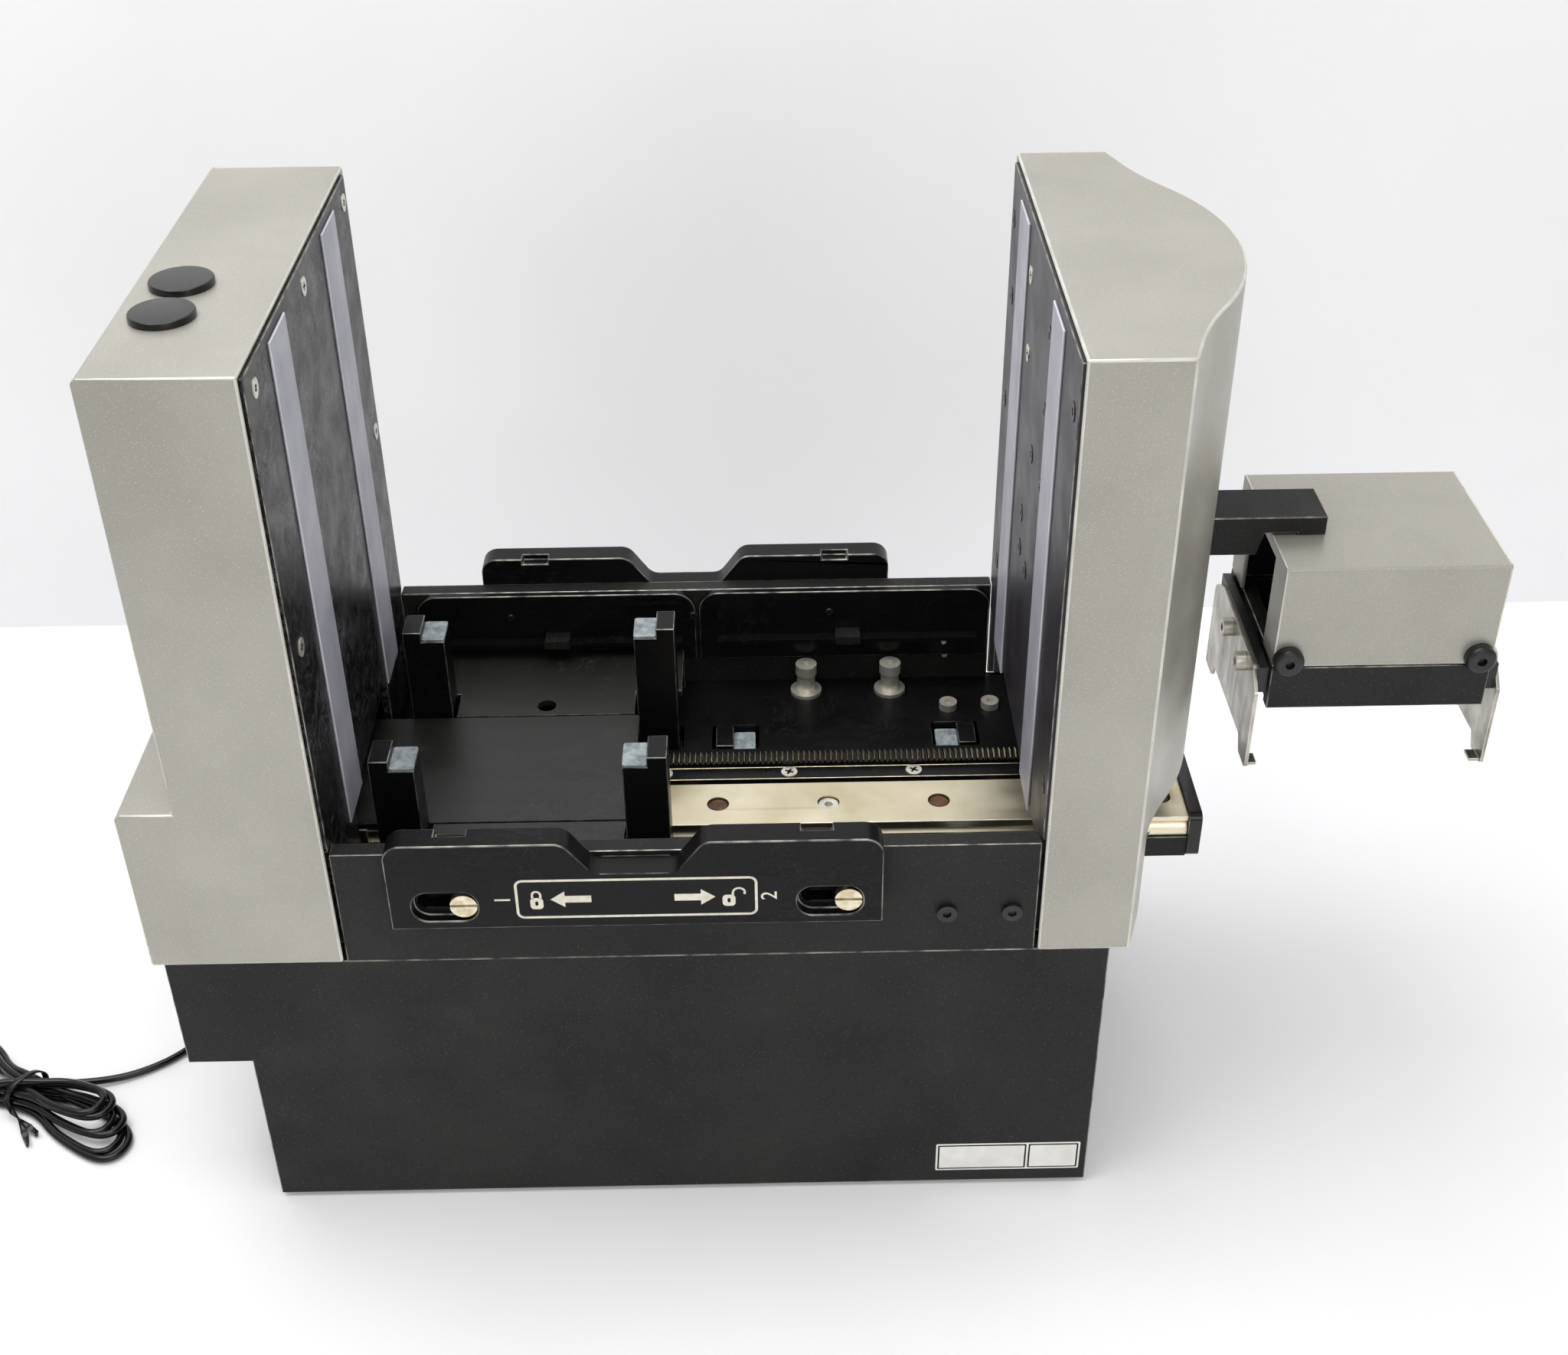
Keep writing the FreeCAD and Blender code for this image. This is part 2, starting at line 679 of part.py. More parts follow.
def rear_sockets():
    """Two data sockets with hollow mouths, and a rocker switch."""
    first, second, switch = socket_boxes()
    pieces = []
    for x, y, z in (first, second):
        mouth = box(
            (x[0] + SOCKET_WALL, x[1] - SOCKET_WALL), (base_back - BASE_SHEET, y[1]),
            (z[0] + SOCKET_WALL, z[1] - SOCKET_WALL),
        )
        pieces.append(box(x, y, z).cut(mouth))
    x, y, z = switch
    outline = [(y[1] - SOCKET_OUT / 2, z[0]), (y[1], z[1]), (y[0], z[1]), (y[0], z[0])]
    return pieces + [plate(outline, on_side(x[0]), V(x[1] - x[0], 0, 0))]


def cord_gland():
    """The strain relief that the lead leaves by: a flange in the panel and a tapered sleeve."""
    x, z = GLAND_AT
    inner = base_back - BASE_SHEET
    wide, thick = GLAND_FLANGE
    start = base_back + thick
    neck = rod(GLAND_NECK, (x, inner - 2 * CORD_RADIUS, z), (x, base_back, z))
    flange = rod(wide, (x, base_back, z), (x, start, z))
    sleeve = Part.makeCone(*GLAND_SLEEVE, V(x, start, z), V(0, 1, 0))
    bore = rod(CORD_RADIUS, (x, start + thick, z), (x, start + GLAND_SLEEVE[2], z))
    return join(neck, flange, sleeve).cut(bore)


# Towers.
def left_cover_outline(inset):
    """The left cover from the front. It steps outwards at its foot."""
    left = -LEFT_TOWER_WIDTH + inset
    step = left - STEP_OUT
    top = TOWER_TOP - inset
    return [
        (0, TOWER_FOOT), (0, top), (left, top, 2), (left, STEP_TOP - inset),
        (step, STEP_TOP - inset, 2), (step, TOWER_FOOT),
    ]


def left_tower_cover():
    """A bent sheet cover, open towards the bay and below."""
    outer = plate(left_cover_outline(0), on_front(0), V(0, TOWER_DEPTH, 0))
    inner = plate(
        left_cover_outline(COVER_SHEET), on_front(COVER_SHEET), V(0, TOWER_DEPTH - 2 * COVER_SHEET, 0)
    )
    holes = [rod(PLUG[1], (x, y, TOWER_TOP - COVER_SHEET), (x, y, TOWER_TOP)) for x, y in plug_places()]
    return cut(outer, inner, *holes)


def plug_places():
    return [(-LEFT_TOWER_WIDTH + PLUG_INSET, y) for y in PLUG_ROWS]


def top_hole_plugs():
    """Two black caps in the top of the left tower."""
    plugs = []
    wide, stem, thick = PLUG
    for x, y in plug_places():
        cap = rod(wide, (x, y, TOWER_TOP), (x, y, TOWER_TOP + thick))
        rim = [e for e in cap.Edges if abs(e.CenterOfMass.z - TOWER_TOP - thick) < 1e-3]
        cap = cap.makeFillet(thick / 3, rim)
        plugs.append(join(cap, rod(stem - RUNNING_GAP, (x, y, TOWER_TOP - 2 * thick), (x, y, TOWER_TOP))))
    return plugs


def panel_y():
    return PANEL_MARGIN, TOWER_DEPTH - 2 * PANEL_MARGIN


def left_tower_panel():
    """The black plate on the bay side, with a way through at its foot for the carrier."""
    low, high = panel_y()
    x = (PANEL_PROUD - PANEL_THICK, PANEL_PROUD)
    sheet = box(x, (low, high), (deck_top, TOWER_TOP - COVER_SHEET - BLOCK_GAP))
    way = box(x, CARRIER_WAY, (deck_top, tunnel_top))
    return drill_panel(cut(sheet, way, *wall_notches(x, deck_top)), LEFT_PANEL_SCREWS, x)


def wall_notches(x, foot):
    """The two corners of an inner plate that make room for the long walls."""
    low, high = panel_y()
    level = (foot, WALL_TOP + BLOCK_GAP)
    return [
        box(x, (low, wall_inner + SHEET_FIT), level),
        box(x, (base_back - WALL_THICK - SHEET_FIT, high), level),
    ]


def right_tower_panel():
    """The black plate of the right tower. Its foot stops above the plate's way."""
    low, high = panel_y()
    x = (BAY_WIDTH - PANEL_PROUD, BAY_WIDTH - PANEL_PROUD + PANEL_THICK)
    sheet = box(x, (low, high), (tunnel_top, cover_top - COVER_SHEET - BLOCK_GAP))
    return drill_panel(cut(sheet, *wall_notches(x, tunnel_top)), RIGHT_PANEL_SCREWS, x)


def guide_strips():
    """Four low-friction strips that the stacked plates slide against."""
    middle = sum(panel_y()) / 2 + STRIP_SHIFT
    top = TOWER_TOP - STRIP_DROP
    strips = []
    for x in (PANEL_PROUD, BAY_WIDTH - PANEL_PROUD - STRIP_THICK):
        for side in (-1, 1):
            y = around(middle + side * STRIP_OFFSET, STRIP_WIDTH)
            strips.append(box((x, x + STRIP_THICK), y, (top - STRIP_LENGTH, top)))
    return strips


def panel_places(screws):
    outer, inner = screws
    places = [(measured(y, TOWER_DEPTH), TOWER_TOP - drop) for y, drop in outer]
    return places + [(TOWER_DEPTH / 2 + y, TOWER_TOP - drop) for y, drop in inner]


def panel_screws():
    """Flat heads that stand a hair proud of the two inner plates."""
    rows = ((LEFT_PANEL_SCREWS, PANEL_PROUD, 1), (RIGHT_PANEL_SCREWS, BAY_WIDTH - PANEL_PROUD, -1))
    screws = []
    for places, x, way in rows:
        for y, z in panel_places(places):
            screws.append(cap_screw((x, y, z), (way, 0, 0), PANEL_SCREW_HEAD, PANEL_SCREW_SHANK))
    return screws


def drill_panel(sheet, screws, x):
    """Takes the screws' holes out of an inner plate."""
    hole = PANEL_SCREW_SHANK[0] + RUNNING_GAP
    return cut(sheet, *[rod(hole, (x[0], y, z), (x[1], y, z)) for y, z in panel_places(screws)])


def tower_solid(inset, foot, top):
    """The right tower from above: a straight box and a round bulge, blended."""
    middle = TOWER_DEPTH / 2
    centre = BAY_WIDTH - BULGE_CENTRE_IN
    straight = box((BAY_WIDTH, tower_back_x - inset), (inset, TOWER_DEPTH - inset), (foot, top))
    disc = rod(BULGE_RADIUS - inset, (centre, middle, foot), (centre, middle, top))
    disc = disc.common(box((BAY_WIDTH, tower_back_x + far), (inset, TOWER_DEPTH - inset), (foot, top)))
    body = straight.fuse(disc).removeSplitter()
    reach = tower_back_x - inset - centre
    half = math.sqrt((BULGE_RADIUS - inset) ** 2 - reach**2)
    seams = []
    for edge in body.Edges:
        point = edge.CenterOfMass
        upright = abs(edge.BoundBox.ZLength - (top - foot)) < 1e-3
        at_face = abs(point.x - (tower_back_x - inset)) < 0.01
        if upright and at_face and abs(abs(point.y - middle) - half) < 0.01:
            seams.append(edge)
    flat = middle - inset - half
    turn = math.acos(reach / (BULGE_RADIUS - inset))
    blend = min(BULGE_BLEND + inset, 0.9 * flat / math.tan(turn / 2))
    return body.makeFillet(blend, seams)


def right_tower_cover():
    """A bent cover with a round bulge, on two legs, slotted for the gripper's arm."""
    outer = tower_solid(0, TOWER_FOOT, cover_top)
    inner = tower_solid(COVER_SHEET, TOWER_FOOT - 1, cover_top - COVER_SHEET)
    middle = TOWER_DEPTH / 2
    under = box((BAY_WIDTH, tower_back_x + far), around(middle, TOWER_DEPTH - 2 * LEG_DEPTH), (0, tunnel_top))
    beyond = box((tower_back_x, tower_back_x + far), (0, TOWER_DEPTH), (0, tunnel_top))
    slot = box(
        (tower_back_x, tower_back_x + far),
        around(ARM_MIDDLE_Y, ARM_WIDTH + 2 * SLOT_SIDE_GAP),
        (ARM_TOP - ARM_THICK - ARM_RIB - GRIP_DOWN - 3, ARM_TOP + GRIP_UP + 3),
    )
    return cut(outer, inner, under, beyond, slot)


def left_tower_frame():
    """Two folded uprights that carry the left panel and stand on the deck."""
    wide, fold, sheet = UPRIGHT
    face = PANEL_PROUD - PANEL_THICK
    level = (deck_top, TOWER_TOP - STRIP_DROP - COVER_SHEET)
    uprights = []
    for y, side in ((UPRIGHT_INSET, 1), (TOWER_DEPTH - UPRIGHT_INSET - sheet, -1)):
        leaf = box((face - wide, face), sorted((y, y + side * sheet)), level)
        flange = box((face - sheet, face), sorted((y, y + side * fold)), level)
        uprights.append(join(leaf, flange))
    return uprights


def right_tower_frame():
    """Two uprights and two bridges that carry the gripper's drive."""
    x = BAY_WIDTH + PANEL_THICK - PANEL_PROUD
    motor_foot = tower_motor_foot()
    inside = COVER_SHEET + PANEL_PROUD
    depth = (inside, TOWER_DEPTH - inside)
    thick = RIGHT_UPRIGHT
    pieces = []
    for y in ((depth[0], depth[0] + thick), (depth[1] - thick, depth[1])):
        pieces.append(box((x + SHEET_FIT, tower_back_x - thick), y, (deck_top, motor_foot)))
    bridge_x = (x, tower_screw_x + 3 * SHAFT_RADIUS)
    low = box(bridge_x, depth, (tunnel_top, bridge_top))
    high = box(bridge_x, depth, (motor_foot - BRIDGE_THICK, motor_foot))
    room = tower_solid(COVER_SHEET + 2 * SHEET_FIT, TOWER_FOOT, TOWER_TOP)
    frame = join(*pieces, low.common(room), high.common(room))
    holes = [tower_rod(SHAFT_RADIUS, y) for y in tower_shafts()]
    return cut(frame, tower_rod(SCREW_RADIUS + BLOCK_GAP, HEAD_MIDDLE_Y), *holes)


def tower_rod(radius, y):
    """A tall upright rod through the right tower, for holes that line up."""
    return rod(radius, (tower_screw_x, y, 0), (tower_screw_x, y, cover_top + far))


def tower_shafts():
    return HEAD_MIDDLE_Y - TOWER_SHAFT_OFFSET, HEAD_MIDDLE_Y + TOWER_SHAFT_OFFSET


def tower_motor_foot():
    return TOWER_TOP - PANEL_PROUD - MOTOR_LENGTH


# Carrier drive.
def rail_holes():
    """The rail's fixing holes, from left to right."""
    return spaced(RAIL_HOLE_AT, RAIL_HOLE_PITCH, (RAIL_LEFT, rail_right), RAIL_HOLE[1])


def linear_rail():
    """A wide ground rail with grooved sides and counterbored holes."""
    deep, foot, top = GROOVE[0], support_top + GROOVE[1], support_top + GROOVE[2]
    low, high = around(RAIL_MIDDLE_Y, RAIL_WIDTH)
    outline = [
        (low, support_top), (high, support_top), (high, foot), (high - deep, foot + deep),
        (high - deep, top - deep), (high, top), (high, rail_top), (low, rail_top),
        (low, top), (low + deep, top - deep), (low + deep, foot + deep), (low, foot),
    ]
    rail = plate(outline, on_side(RAIL_LEFT), V(rail_right - RAIL_LEFT, 0, 0))
    drill, counterbore, deep = RAIL_HOLE
    holes = []
    for x in rail_holes():
        holes.append(rod(drill, (x, RAIL_MIDDLE_Y, support_top), (x, RAIL_MIDDLE_Y, rail_top)))
        holes.append(rod(counterbore, (x, RAIL_MIDDLE_Y, rail_top - deep), (x, RAIL_MIDDLE_Y, rail_top)))
    return cut(rail, *holes)


def rack_screw_places():
    return spaced(RACK_SCREW_AT, RACK_SCREW_PITCH, rack_ends(), RACK_SCREW_SHANK + RACK_END)


def rack_ends():
    return RAIL_LEFT + RACK_END, rail_right - RACK_END


def rail_and_rack_screws():
    """Socket screws sunk in the rail, and flat heads on the rack's ledge."""
    screws = []
    for x in rail_holes():
        at = (x, RAIL_MIDDLE_Y, rail_top - RAIL_HOLE[2])
        shank = (RAIL_HOLE[0] - RUNNING_GAP, RAIL_HEIGHT - RAIL_HOLE[2])
        screws.append(cap_screw(at, (0, 0, 1), RAIL_SCREW_HEAD, shank, SMALL_SOCKET))
    ledge = support_top + RACK_LEDGE
    for x in rack_screw_places():
        at = (x, (RACK_FRONT + RACK_TEETH_FRONT) / 2, ledge)
        shank = (RACK_SCREW_SHANK, RACK_LEDGE - SHEET_FIT)
        screws.append(cap_screw(at, (0, 0, 1), RACK_SCREW_HEAD, shank))
    return screws


def gear_rack():
    """The fixed rack: a screwed ledge in front and a toothed bar behind."""
    ledge = support_top + RACK_LEDGE
    ends = rack_ends()
    root = RACK_TOP - TOOTH_HEIGHT
    middles = spaced(PINION_X, TOOTH_PITCH, ends, TOOTH_PITCH)
    teeth = tooth_row(middles[0], len(middles), root)
    outline = [(ends[0], support_top), (ends[0], root)] + teeth
    outline += [(ends[1], root), (ends[1], support_top)]
    bar = plate(outline, on_front(RACK_TEETH_FRONT), V(0, RACK_BACK - RACK_TEETH_FRONT, 0))
    shelf = box(ends, (RACK_FRONT, RACK_TEETH_FRONT), (support_top, ledge))
    middle = (RACK_FRONT + RACK_TEETH_FRONT) / 2
    hole = RACK_SCREW_SHANK + RUNNING_GAP
    holes = [rod(hole, (x, middle, support_top), (x, middle, ledge)) for x in rack_screw_places()]
    return cut(bar.fuse(shelf).removeSplitter(), *holes)


def rail_support():
    """The bar under rail and rack. Past the base it is thicker and carries itself."""
    y = (SUPPORT_FRONT, SUPPORT_BACK)
    bar = box((RAIL_LEFT, rail_right), y, (deck_top, support_top))
    beam = box((base_right + BLOCK_GAP, rail_right), y, (beam_foot, support_top))
    middle = RAIL_MIDDLE_Y
    holes = [rod(RAIL_HOLE[0], (x, middle, deck_top), (x, middle, support_top)) for x in rail_holes()]
    return cut(join(bar, beam), *holes)


def rail_end_cap():
    """The black cap that closes the end of the rail and its support."""
    y = around((SUPPORT_FRONT + SUPPORT_BACK) / 2 - 1, END_CAP[1])
    outline = rectangle(y, (beam_foot, beam_foot + END_CAP[2]), LOCK_CORNER / 2)
    return plate(outline, on_side(rail_right), V(END_CAP[0], 0, 0))


def carriage_block():
    """The runner: an inverted U that wraps the rail with a small gap."""
    x = around(BLOCK_X, BLOCK[0])
    half_rail = RAIL_WIDTH / 2 + BLOCK_GAP
    outer = box(x, around(RAIL_MIDDLE_Y, BLOCK[1]), (support_top + BLOCK_FLOOR_GAP, block_top))
    inner = box(x, around(RAIL_MIDDLE_Y, 2 * half_rail), (support_top, rail_top + BLOCK_GAP))
    return outer.cut(inner)


def carrier_plate():
    """The tongue that carries one plate, and the ear that its motor hangs on."""
    low, high = around(BAY_MIDDLE_Y, CARRIER_WIDTH)
    right = bay_centres[0] + NEST_LENGTH / 2
    left = BLOCK_X - BLOCK[0] / 2 - 7
    ear_front, ear_back = ear_y()
    motor_right = PINION_X + CARRIER_MOTOR_RADIUS + FLOOR_THICK
    outline = [
        (left, low, 3), (right, low, 1), (right, high, 1), (motor_right, high), (motor_right, ear_back),
        (left, ear_back),
    ]
    tongue = plate(outline, on_top(block_top), V(0, 0, FLOOR_THICK))
    ear = box((left, motor_right), (ear_front, ear_back), (pinion_level - EAR[0], pinion_level + EAR[1]))
    wide = 2 * (pinion_radius + TOOTH_HEIGHT + PINION_WINDOW)
    window = box(around(PINION_X, wide), (RACK_TEETH_FRONT - TONGUE_GAP, ear_front), (block_top, FLOOR_TOP))
    hole = rod(2 * PINION_SHAFT, (PINION_X, ear_front, pinion_level), (PINION_X, ear_back, pinion_level))
    return cut(join(tongue, ear), window, hole)


def ear_y():
    """The front and the back of the ear, close behind the rack."""
    return RACK_BACK + EAR_GAP, RACK_BACK + EAR_GAP + MOTOR_EAR


def carrier_motor():
    """A flat round stepping motor on the ear, with its shaft through the pinion."""
    front = ear_y()[1]
    body = rod(
        CARRIER_MOTOR_RADIUS, (PINION_X, front, pinion_level),
        (PINION_X, front + CARRIER_MOTOR_LENGTH, pinion_level),
    )
    shaft = rod(PINION_SHAFT, (PINION_X, RACK_TEETH_FRONT, pinion_level), (PINION_X, front, pinion_level))
    return join(body, shaft)


def drive_pinion():
    """The pinion in mesh with the rack at rest."""
    face = RACK_BACK - RACK_TEETH_FRONT - 2 * SHEET_FIT
    wheel = gear(PINION_TEETH, face, PINION_SHAFT + RUNNING_GAP)
    wheel.rotate(V(0, 0, 0), V(1, 0, 0), 90)
    wheel.translate(V(PINION_X, RACK_BACK - SHEET_FIT, pinion_level))
    return wheel


# Lifters.
def lift_level(bay_index):
    """The pads' height at rest: the input lifter is up, the output lifter is down."""
    return RAISED_PAD_TOP if bay_index == 0 else RAISED_PAD_TOP - LIFT_TRAVEL


def lift_frame(bay_index):
    """A cross plate with four posts. Each post has a lip beside its pad."""
    bay, top = bay_centres[bay_index], lift_level(bay_index)
    plate_top = top - POST_LENGTH
    cross = plate(
        rectangle(around(bay, CROSS_PLATE[0]), around(BAY_MIDDLE_Y, CROSS_PLATE[1]), 4),
        on_top(plate_top - CROSS_PLATE[2]), V(0, 0, CROSS_PLATE[2]),
    )
    wide, deep = post_size()
    pieces = [cross]
    for x, y, side in post_places(bay):
        pieces.append(box(around(x, wide), around(y, deep), (plate_top - 1, top - PAD[2])))
        lip_x = bay + side * (PAD_OFFSET_X + PAD[0] / 2 + LIP[0] / 2)
        pieces.append(box(around(lip_x, LIP[0]), around(y, deep), (top - PAD[2] - 1, top + LIP[1])))
    frame = join(*pieces)
    holes = []
    for y in lift_shafts():
        holes.append(rod(SHAFT_RADIUS + RUNNING_GAP, (bay, y, 0), (bay, y, TOWER_FOOT)))
    barrel = NUT[2] + 2 * RUNNING_GAP
    holes.append(rod(barrel, (bay, BAY_MIDDLE_Y, 0), (bay, BAY_MIDDLE_Y, TOWER_FOOT)))
    return cut(frame, *holes)


def lift_shafts():
    return BAY_MIDDLE_Y - SHAFT_OFFSET_Y, BAY_MIDDLE_Y + SHAFT_OFFSET_Y


def lift_pads(bay_index):
    """Four soft pads on top of the posts."""
    bay, top = bay_centres[bay_index], lift_level(bay_index)
    pads = []
    for side in (-1, 1):
        for end in (-1, 1):
            x = around(bay + side * PAD_OFFSET_X, PAD[0])
            y = around(BAY_MIDDLE_Y + end * POST_OFFSET_Y, PAD[1])
            pads.append(plate(rectangle(x, y, 1), on_top(top - PAD[2]), V(0, 0, PAD[2])))
    return pads


def lift_nut(bay_index):
    """The flanged nut that rides the lead screw and lifts the cross plate."""
    bay, top = bay_centres[bay_index], lift_level(bay_index) - POST_LENGTH
    under = top - CROSS_PLATE[2]
    flange = rod(NUT[0], (bay, BAY_MIDDLE_Y, under - NUT[1]), (bay, BAY_MIDDLE_Y, under))
    barrel = rod(NUT[2], (bay, BAY_MIDDLE_Y, under), (bay, BAY_MIDDLE_Y, top))
    bore = rod(SCREW_RADIUS + RUNNING_GAP, (bay, BAY_MIDDLE_Y, 0), (bay, BAY_MIDDLE_Y, TOWER_FOOT))
    return join(flange, barrel).cut(bore)


def lead_screw(bay_index):
    """A lead screw that stands on its motor."""
    bay = bay_centres[bay_index]
    foot = BASE_SHEET + MOTOR_LENGTH + MOTOR_PILOT[1]
    return rod(SCREW_RADIUS, (bay, BAY_MIDDLE_Y, foot), (bay, BAY_MIDDLE_Y, TOWER_FOOT - POCKET_GAP))


def lift_motors():
    return [motor(bay, BAY_MIDDLE_Y, BASE_SHEET) for bay in bay_centres]


def guide_shafts():
    """Ground shafts: two for each lifter and two for the gripper."""
    shafts = []
    for bay in bay_centres:
        shafts += [rod(SHAFT_RADIUS, (bay, y, BASE_SHEET), (bay, y, TOWER_FOOT)) for y in lift_shafts()]
    top = tower_motor_foot()
    for y in tower_shafts():
        shafts.append(rod(SHAFT_RADIUS, (tower_screw_x, y, tunnel_top), (tower_screw_x, y, top)))
    return shafts


def control_board():
    """The board that stands along the left side of the base, on four pillars."""
    wall = BASE_LEFT + BASE_SHEET
    radius, tall = BOARD_PILLAR
    long, high, thick = BOARD
    y, z = BOARD_AT
    face = wall + tall + thick
    board = box((wall + tall, face), (y, y + long), (z, z + high))
    inset = 2 * radius
    corners = [(b, c) for b in (y + inset, y + long - inset) for c in (z + inset, z + high - inset)]
    pillars = [rod(radius, (wall, b, c), (wall + tall, b, c)) for b, c in corners]
    chips = []
    for share in (0.25, 0.5, 0.75):
        chip_y = around(y + long * share, CHIP[0])
        chips.append(box((face, face + CHIP[2]), chip_y, around(z + high / 2, CHIP[1])))
    return [board] + pillars + chips


# Lock plates.
def lock_plate(front):
    """A sliding plate with two raised lobes, slotted for the two screws that hold it."""
    left = LOCK_LEFT if front else LOCK_LEFT + LOCK_TRAVEL
    right = left + LOCK_LENGTH
    y = lock_front if front else base_back + LOCK_GAP
    valley = LOBE_WIDTH + LOBE_LEAN
    outline = [
        (left, LOCK_FOOT), (right, LOCK_FOOT), (right, LOCK_TOP, LOCK_CORNER),
        (right - LOBE_WIDTH, LOCK_TOP, LOCK_CORNER), (right - valley, LOCK_VALLEY, LOCK_BEND),
        (left + valley, LOCK_VALLEY, LOCK_BEND), (left + LOBE_WIDTH, LOCK_TOP, LOCK_CORNER),
        (left, LOCK_TOP, LOCK_CORNER),
    ]
    body = plate(outline, on_front(y), V(0, LOCK_THICK, 0))
    inner_y = (y + LOCK_THICK - NOTCH_DEPTH, y + LOCK_THICK) if front else (y, y + NOTCH_DEPTH)
    tools = []
    for x in (left + NOTCH_OFFSET, right - NOTCH_OFFSET):
        tools.append(box(around(x, NOTCH[0]), inner_y, (LOCK_TOP - NOTCH[1], LOCK_TOP + 1)))
    outer = y if front else y + LOCK_THICK - LOCK_SLOT[2]
    for start in LOCK_SLOT_AT:
        x = (left + start, left + start + LOCK_SLOT[0])
        recess = rectangle(x, around(LOCK_SLOT_MIDDLE, LOCK_SLOT[1]), LOCK_SLOT[1] / 2 - 0.5)
        tools.append(plate(recess, on_front(outer), V(0, LOCK_SLOT[2], 0)))
        narrow = LOCK_SCREW_SHANK + 0.4
        middle = (x[0] + LOCK_SLOT[1] / 2 - 1.8, x[1] - LOCK_SLOT[1] / 2 + 1.8)
        through = rectangle(
            (middle[0] - narrow, middle[1] + narrow), around(LOCK_SLOT_MIDDLE, 2 * narrow), narrow - 0.1
        )
        tools.append(plate(through, on_front(y), V(0, LOCK_THICK, 0)))
    return cut(body, *tools)


def lock_screws():
    """Slotted cheese heads that hold both lock plates against the walls."""
    screws = []
    for front in (True, False):
        sunk = LOCK_SLOT[2] - LOCK_SCREW_SUNK
        face = lock_front + sunk if front else lock_back - sunk
        way = V(0, -1, 0) if front else V(0, 1, 0)
        wall = wall_inner if front else base_back - WALL_THICK
        wide, tall = LOCK_SCREW_HEAD
        deep, narrow = LOCK_SCREW_SLIT
        end = face + way.y * tall
        for x in lock_screw_places(front):
            head = Part.makeCylinder(wide, tall, V(x, face, LOCK_SLOT_MIDDLE), way)
            shank = rod(LOCK_SCREW_SHANK, (x, face, LOCK_SLOT_MIDDLE), (x, wall, LOCK_SLOT_MIDDLE))
            slit_y = sorted((end, end - way.y * deep))
            slit = box(around(x, 2 * wide + 1), slit_y, around(LOCK_SLOT_MIDDLE, narrow))
            screws.append(cut(join(head, shank), slit))
    return screws


# Gripper.
def gripper_carriage():
    """The block that rides the shafts and carries the arm."""
    x = around(tower_screw_x, CARRIAGE[0])
    top = ARM_TOP + CARRIAGE_ABOVE
    block = box(x, around(HEAD_MIDDLE_Y, CARRIAGE[1]), (top - CARRIAGE[2], top))
    holes = [tower_rod(SHAFT_RADIUS + RUNNING_GAP, y) for y in tower_shafts()]
    return cut(block, tower_rod(SCREW_RADIUS + RUNNING_GAP, HEAD_MIDDLE_Y), *holes)


def gripper_arm():
    """A flat arm with a deep rib near the tower."""
    y = around(ARM_MIDDLE_Y, ARM_WIDTH)
    start = tower_screw_x + CARRIAGE[0] / 2
    flat = box((start, arm_end), y, (ARM_TOP - ARM_THICK, ARM_TOP))
    foot = ARM_TOP - ARM_THICK - ARM_RIB
    rib = plate(
        [(start, foot), (rib_end - 2, foot), (rib_end, ARM_TOP - ARM_THICK), (start, ARM_TOP - ARM_THICK)],
        on_front(y[0]), V(0, ARM_WIDTH, 0),
    )
    neck = box((head_x(ARM_RIB)[0], arm_end), y, (head_top, ARM_TOP - ARM_THICK))
    return join(flat, rib, neck)


def head_x(inset=0.0):
    return grip_x - HEAD[0] / 2 + inset, grip_x + HEAD[0] / 2 - inset


def head_y(inset=0.0):
    return HEAD_MIDDLE_Y - HEAD[1] / 2 + inset, HEAD_MIDDLE_Y + HEAD[1] / 2 - inset


def gripper_cover():
    """A bent cover over the head, with folded edges at its open sides."""
    outer = box(head_x(), head_y(), (head_cover_foot, head_top))
    outer = outer.makeFillet(HEAD_FOLD, [e for e in outer.Edges if top_fold(e)])
    inner = box(head_x(HEAD_SHEET), head_y(HEAD_SHEET), (head_cover_foot, head_top - HEAD_SHEET))
    side_top = head_top - HEAD_SHEET - HEAD_FLANGE_TOP
    open_side = box(head_x(-HEAD_INSET), head_y(HEAD_FLANGE), (head_cover_foot, side_top))
    return cut(outer, inner, open_side, *knob_holes())


def knob_holes():
    """The knobs' holes through the cover's front and the frame behind it."""
    radius = KNOB_SHANK[0] + 2 * RUNNING_GAP
    front = head_y()[0]
    deep = KNOB_SHANK[1] + 1
    return [rod(radius, (x, front, knob_level()), (x, front + deep, knob_level())) for x in knob_places()]


def top_fold(edge):
    """Whether an edge is the front or the back fold of the head cover's top."""
    return abs(edge.CenterOfMass.z - head_top) < 1e-3 and edge.BoundBox.XLength > HEAD[0] / 2


def knob_places():
    return grip_x - KNOB_OFFSET, grip_x + KNOB_OFFSET


def knob_level():
    return head_cover_foot + KNOB_RISE


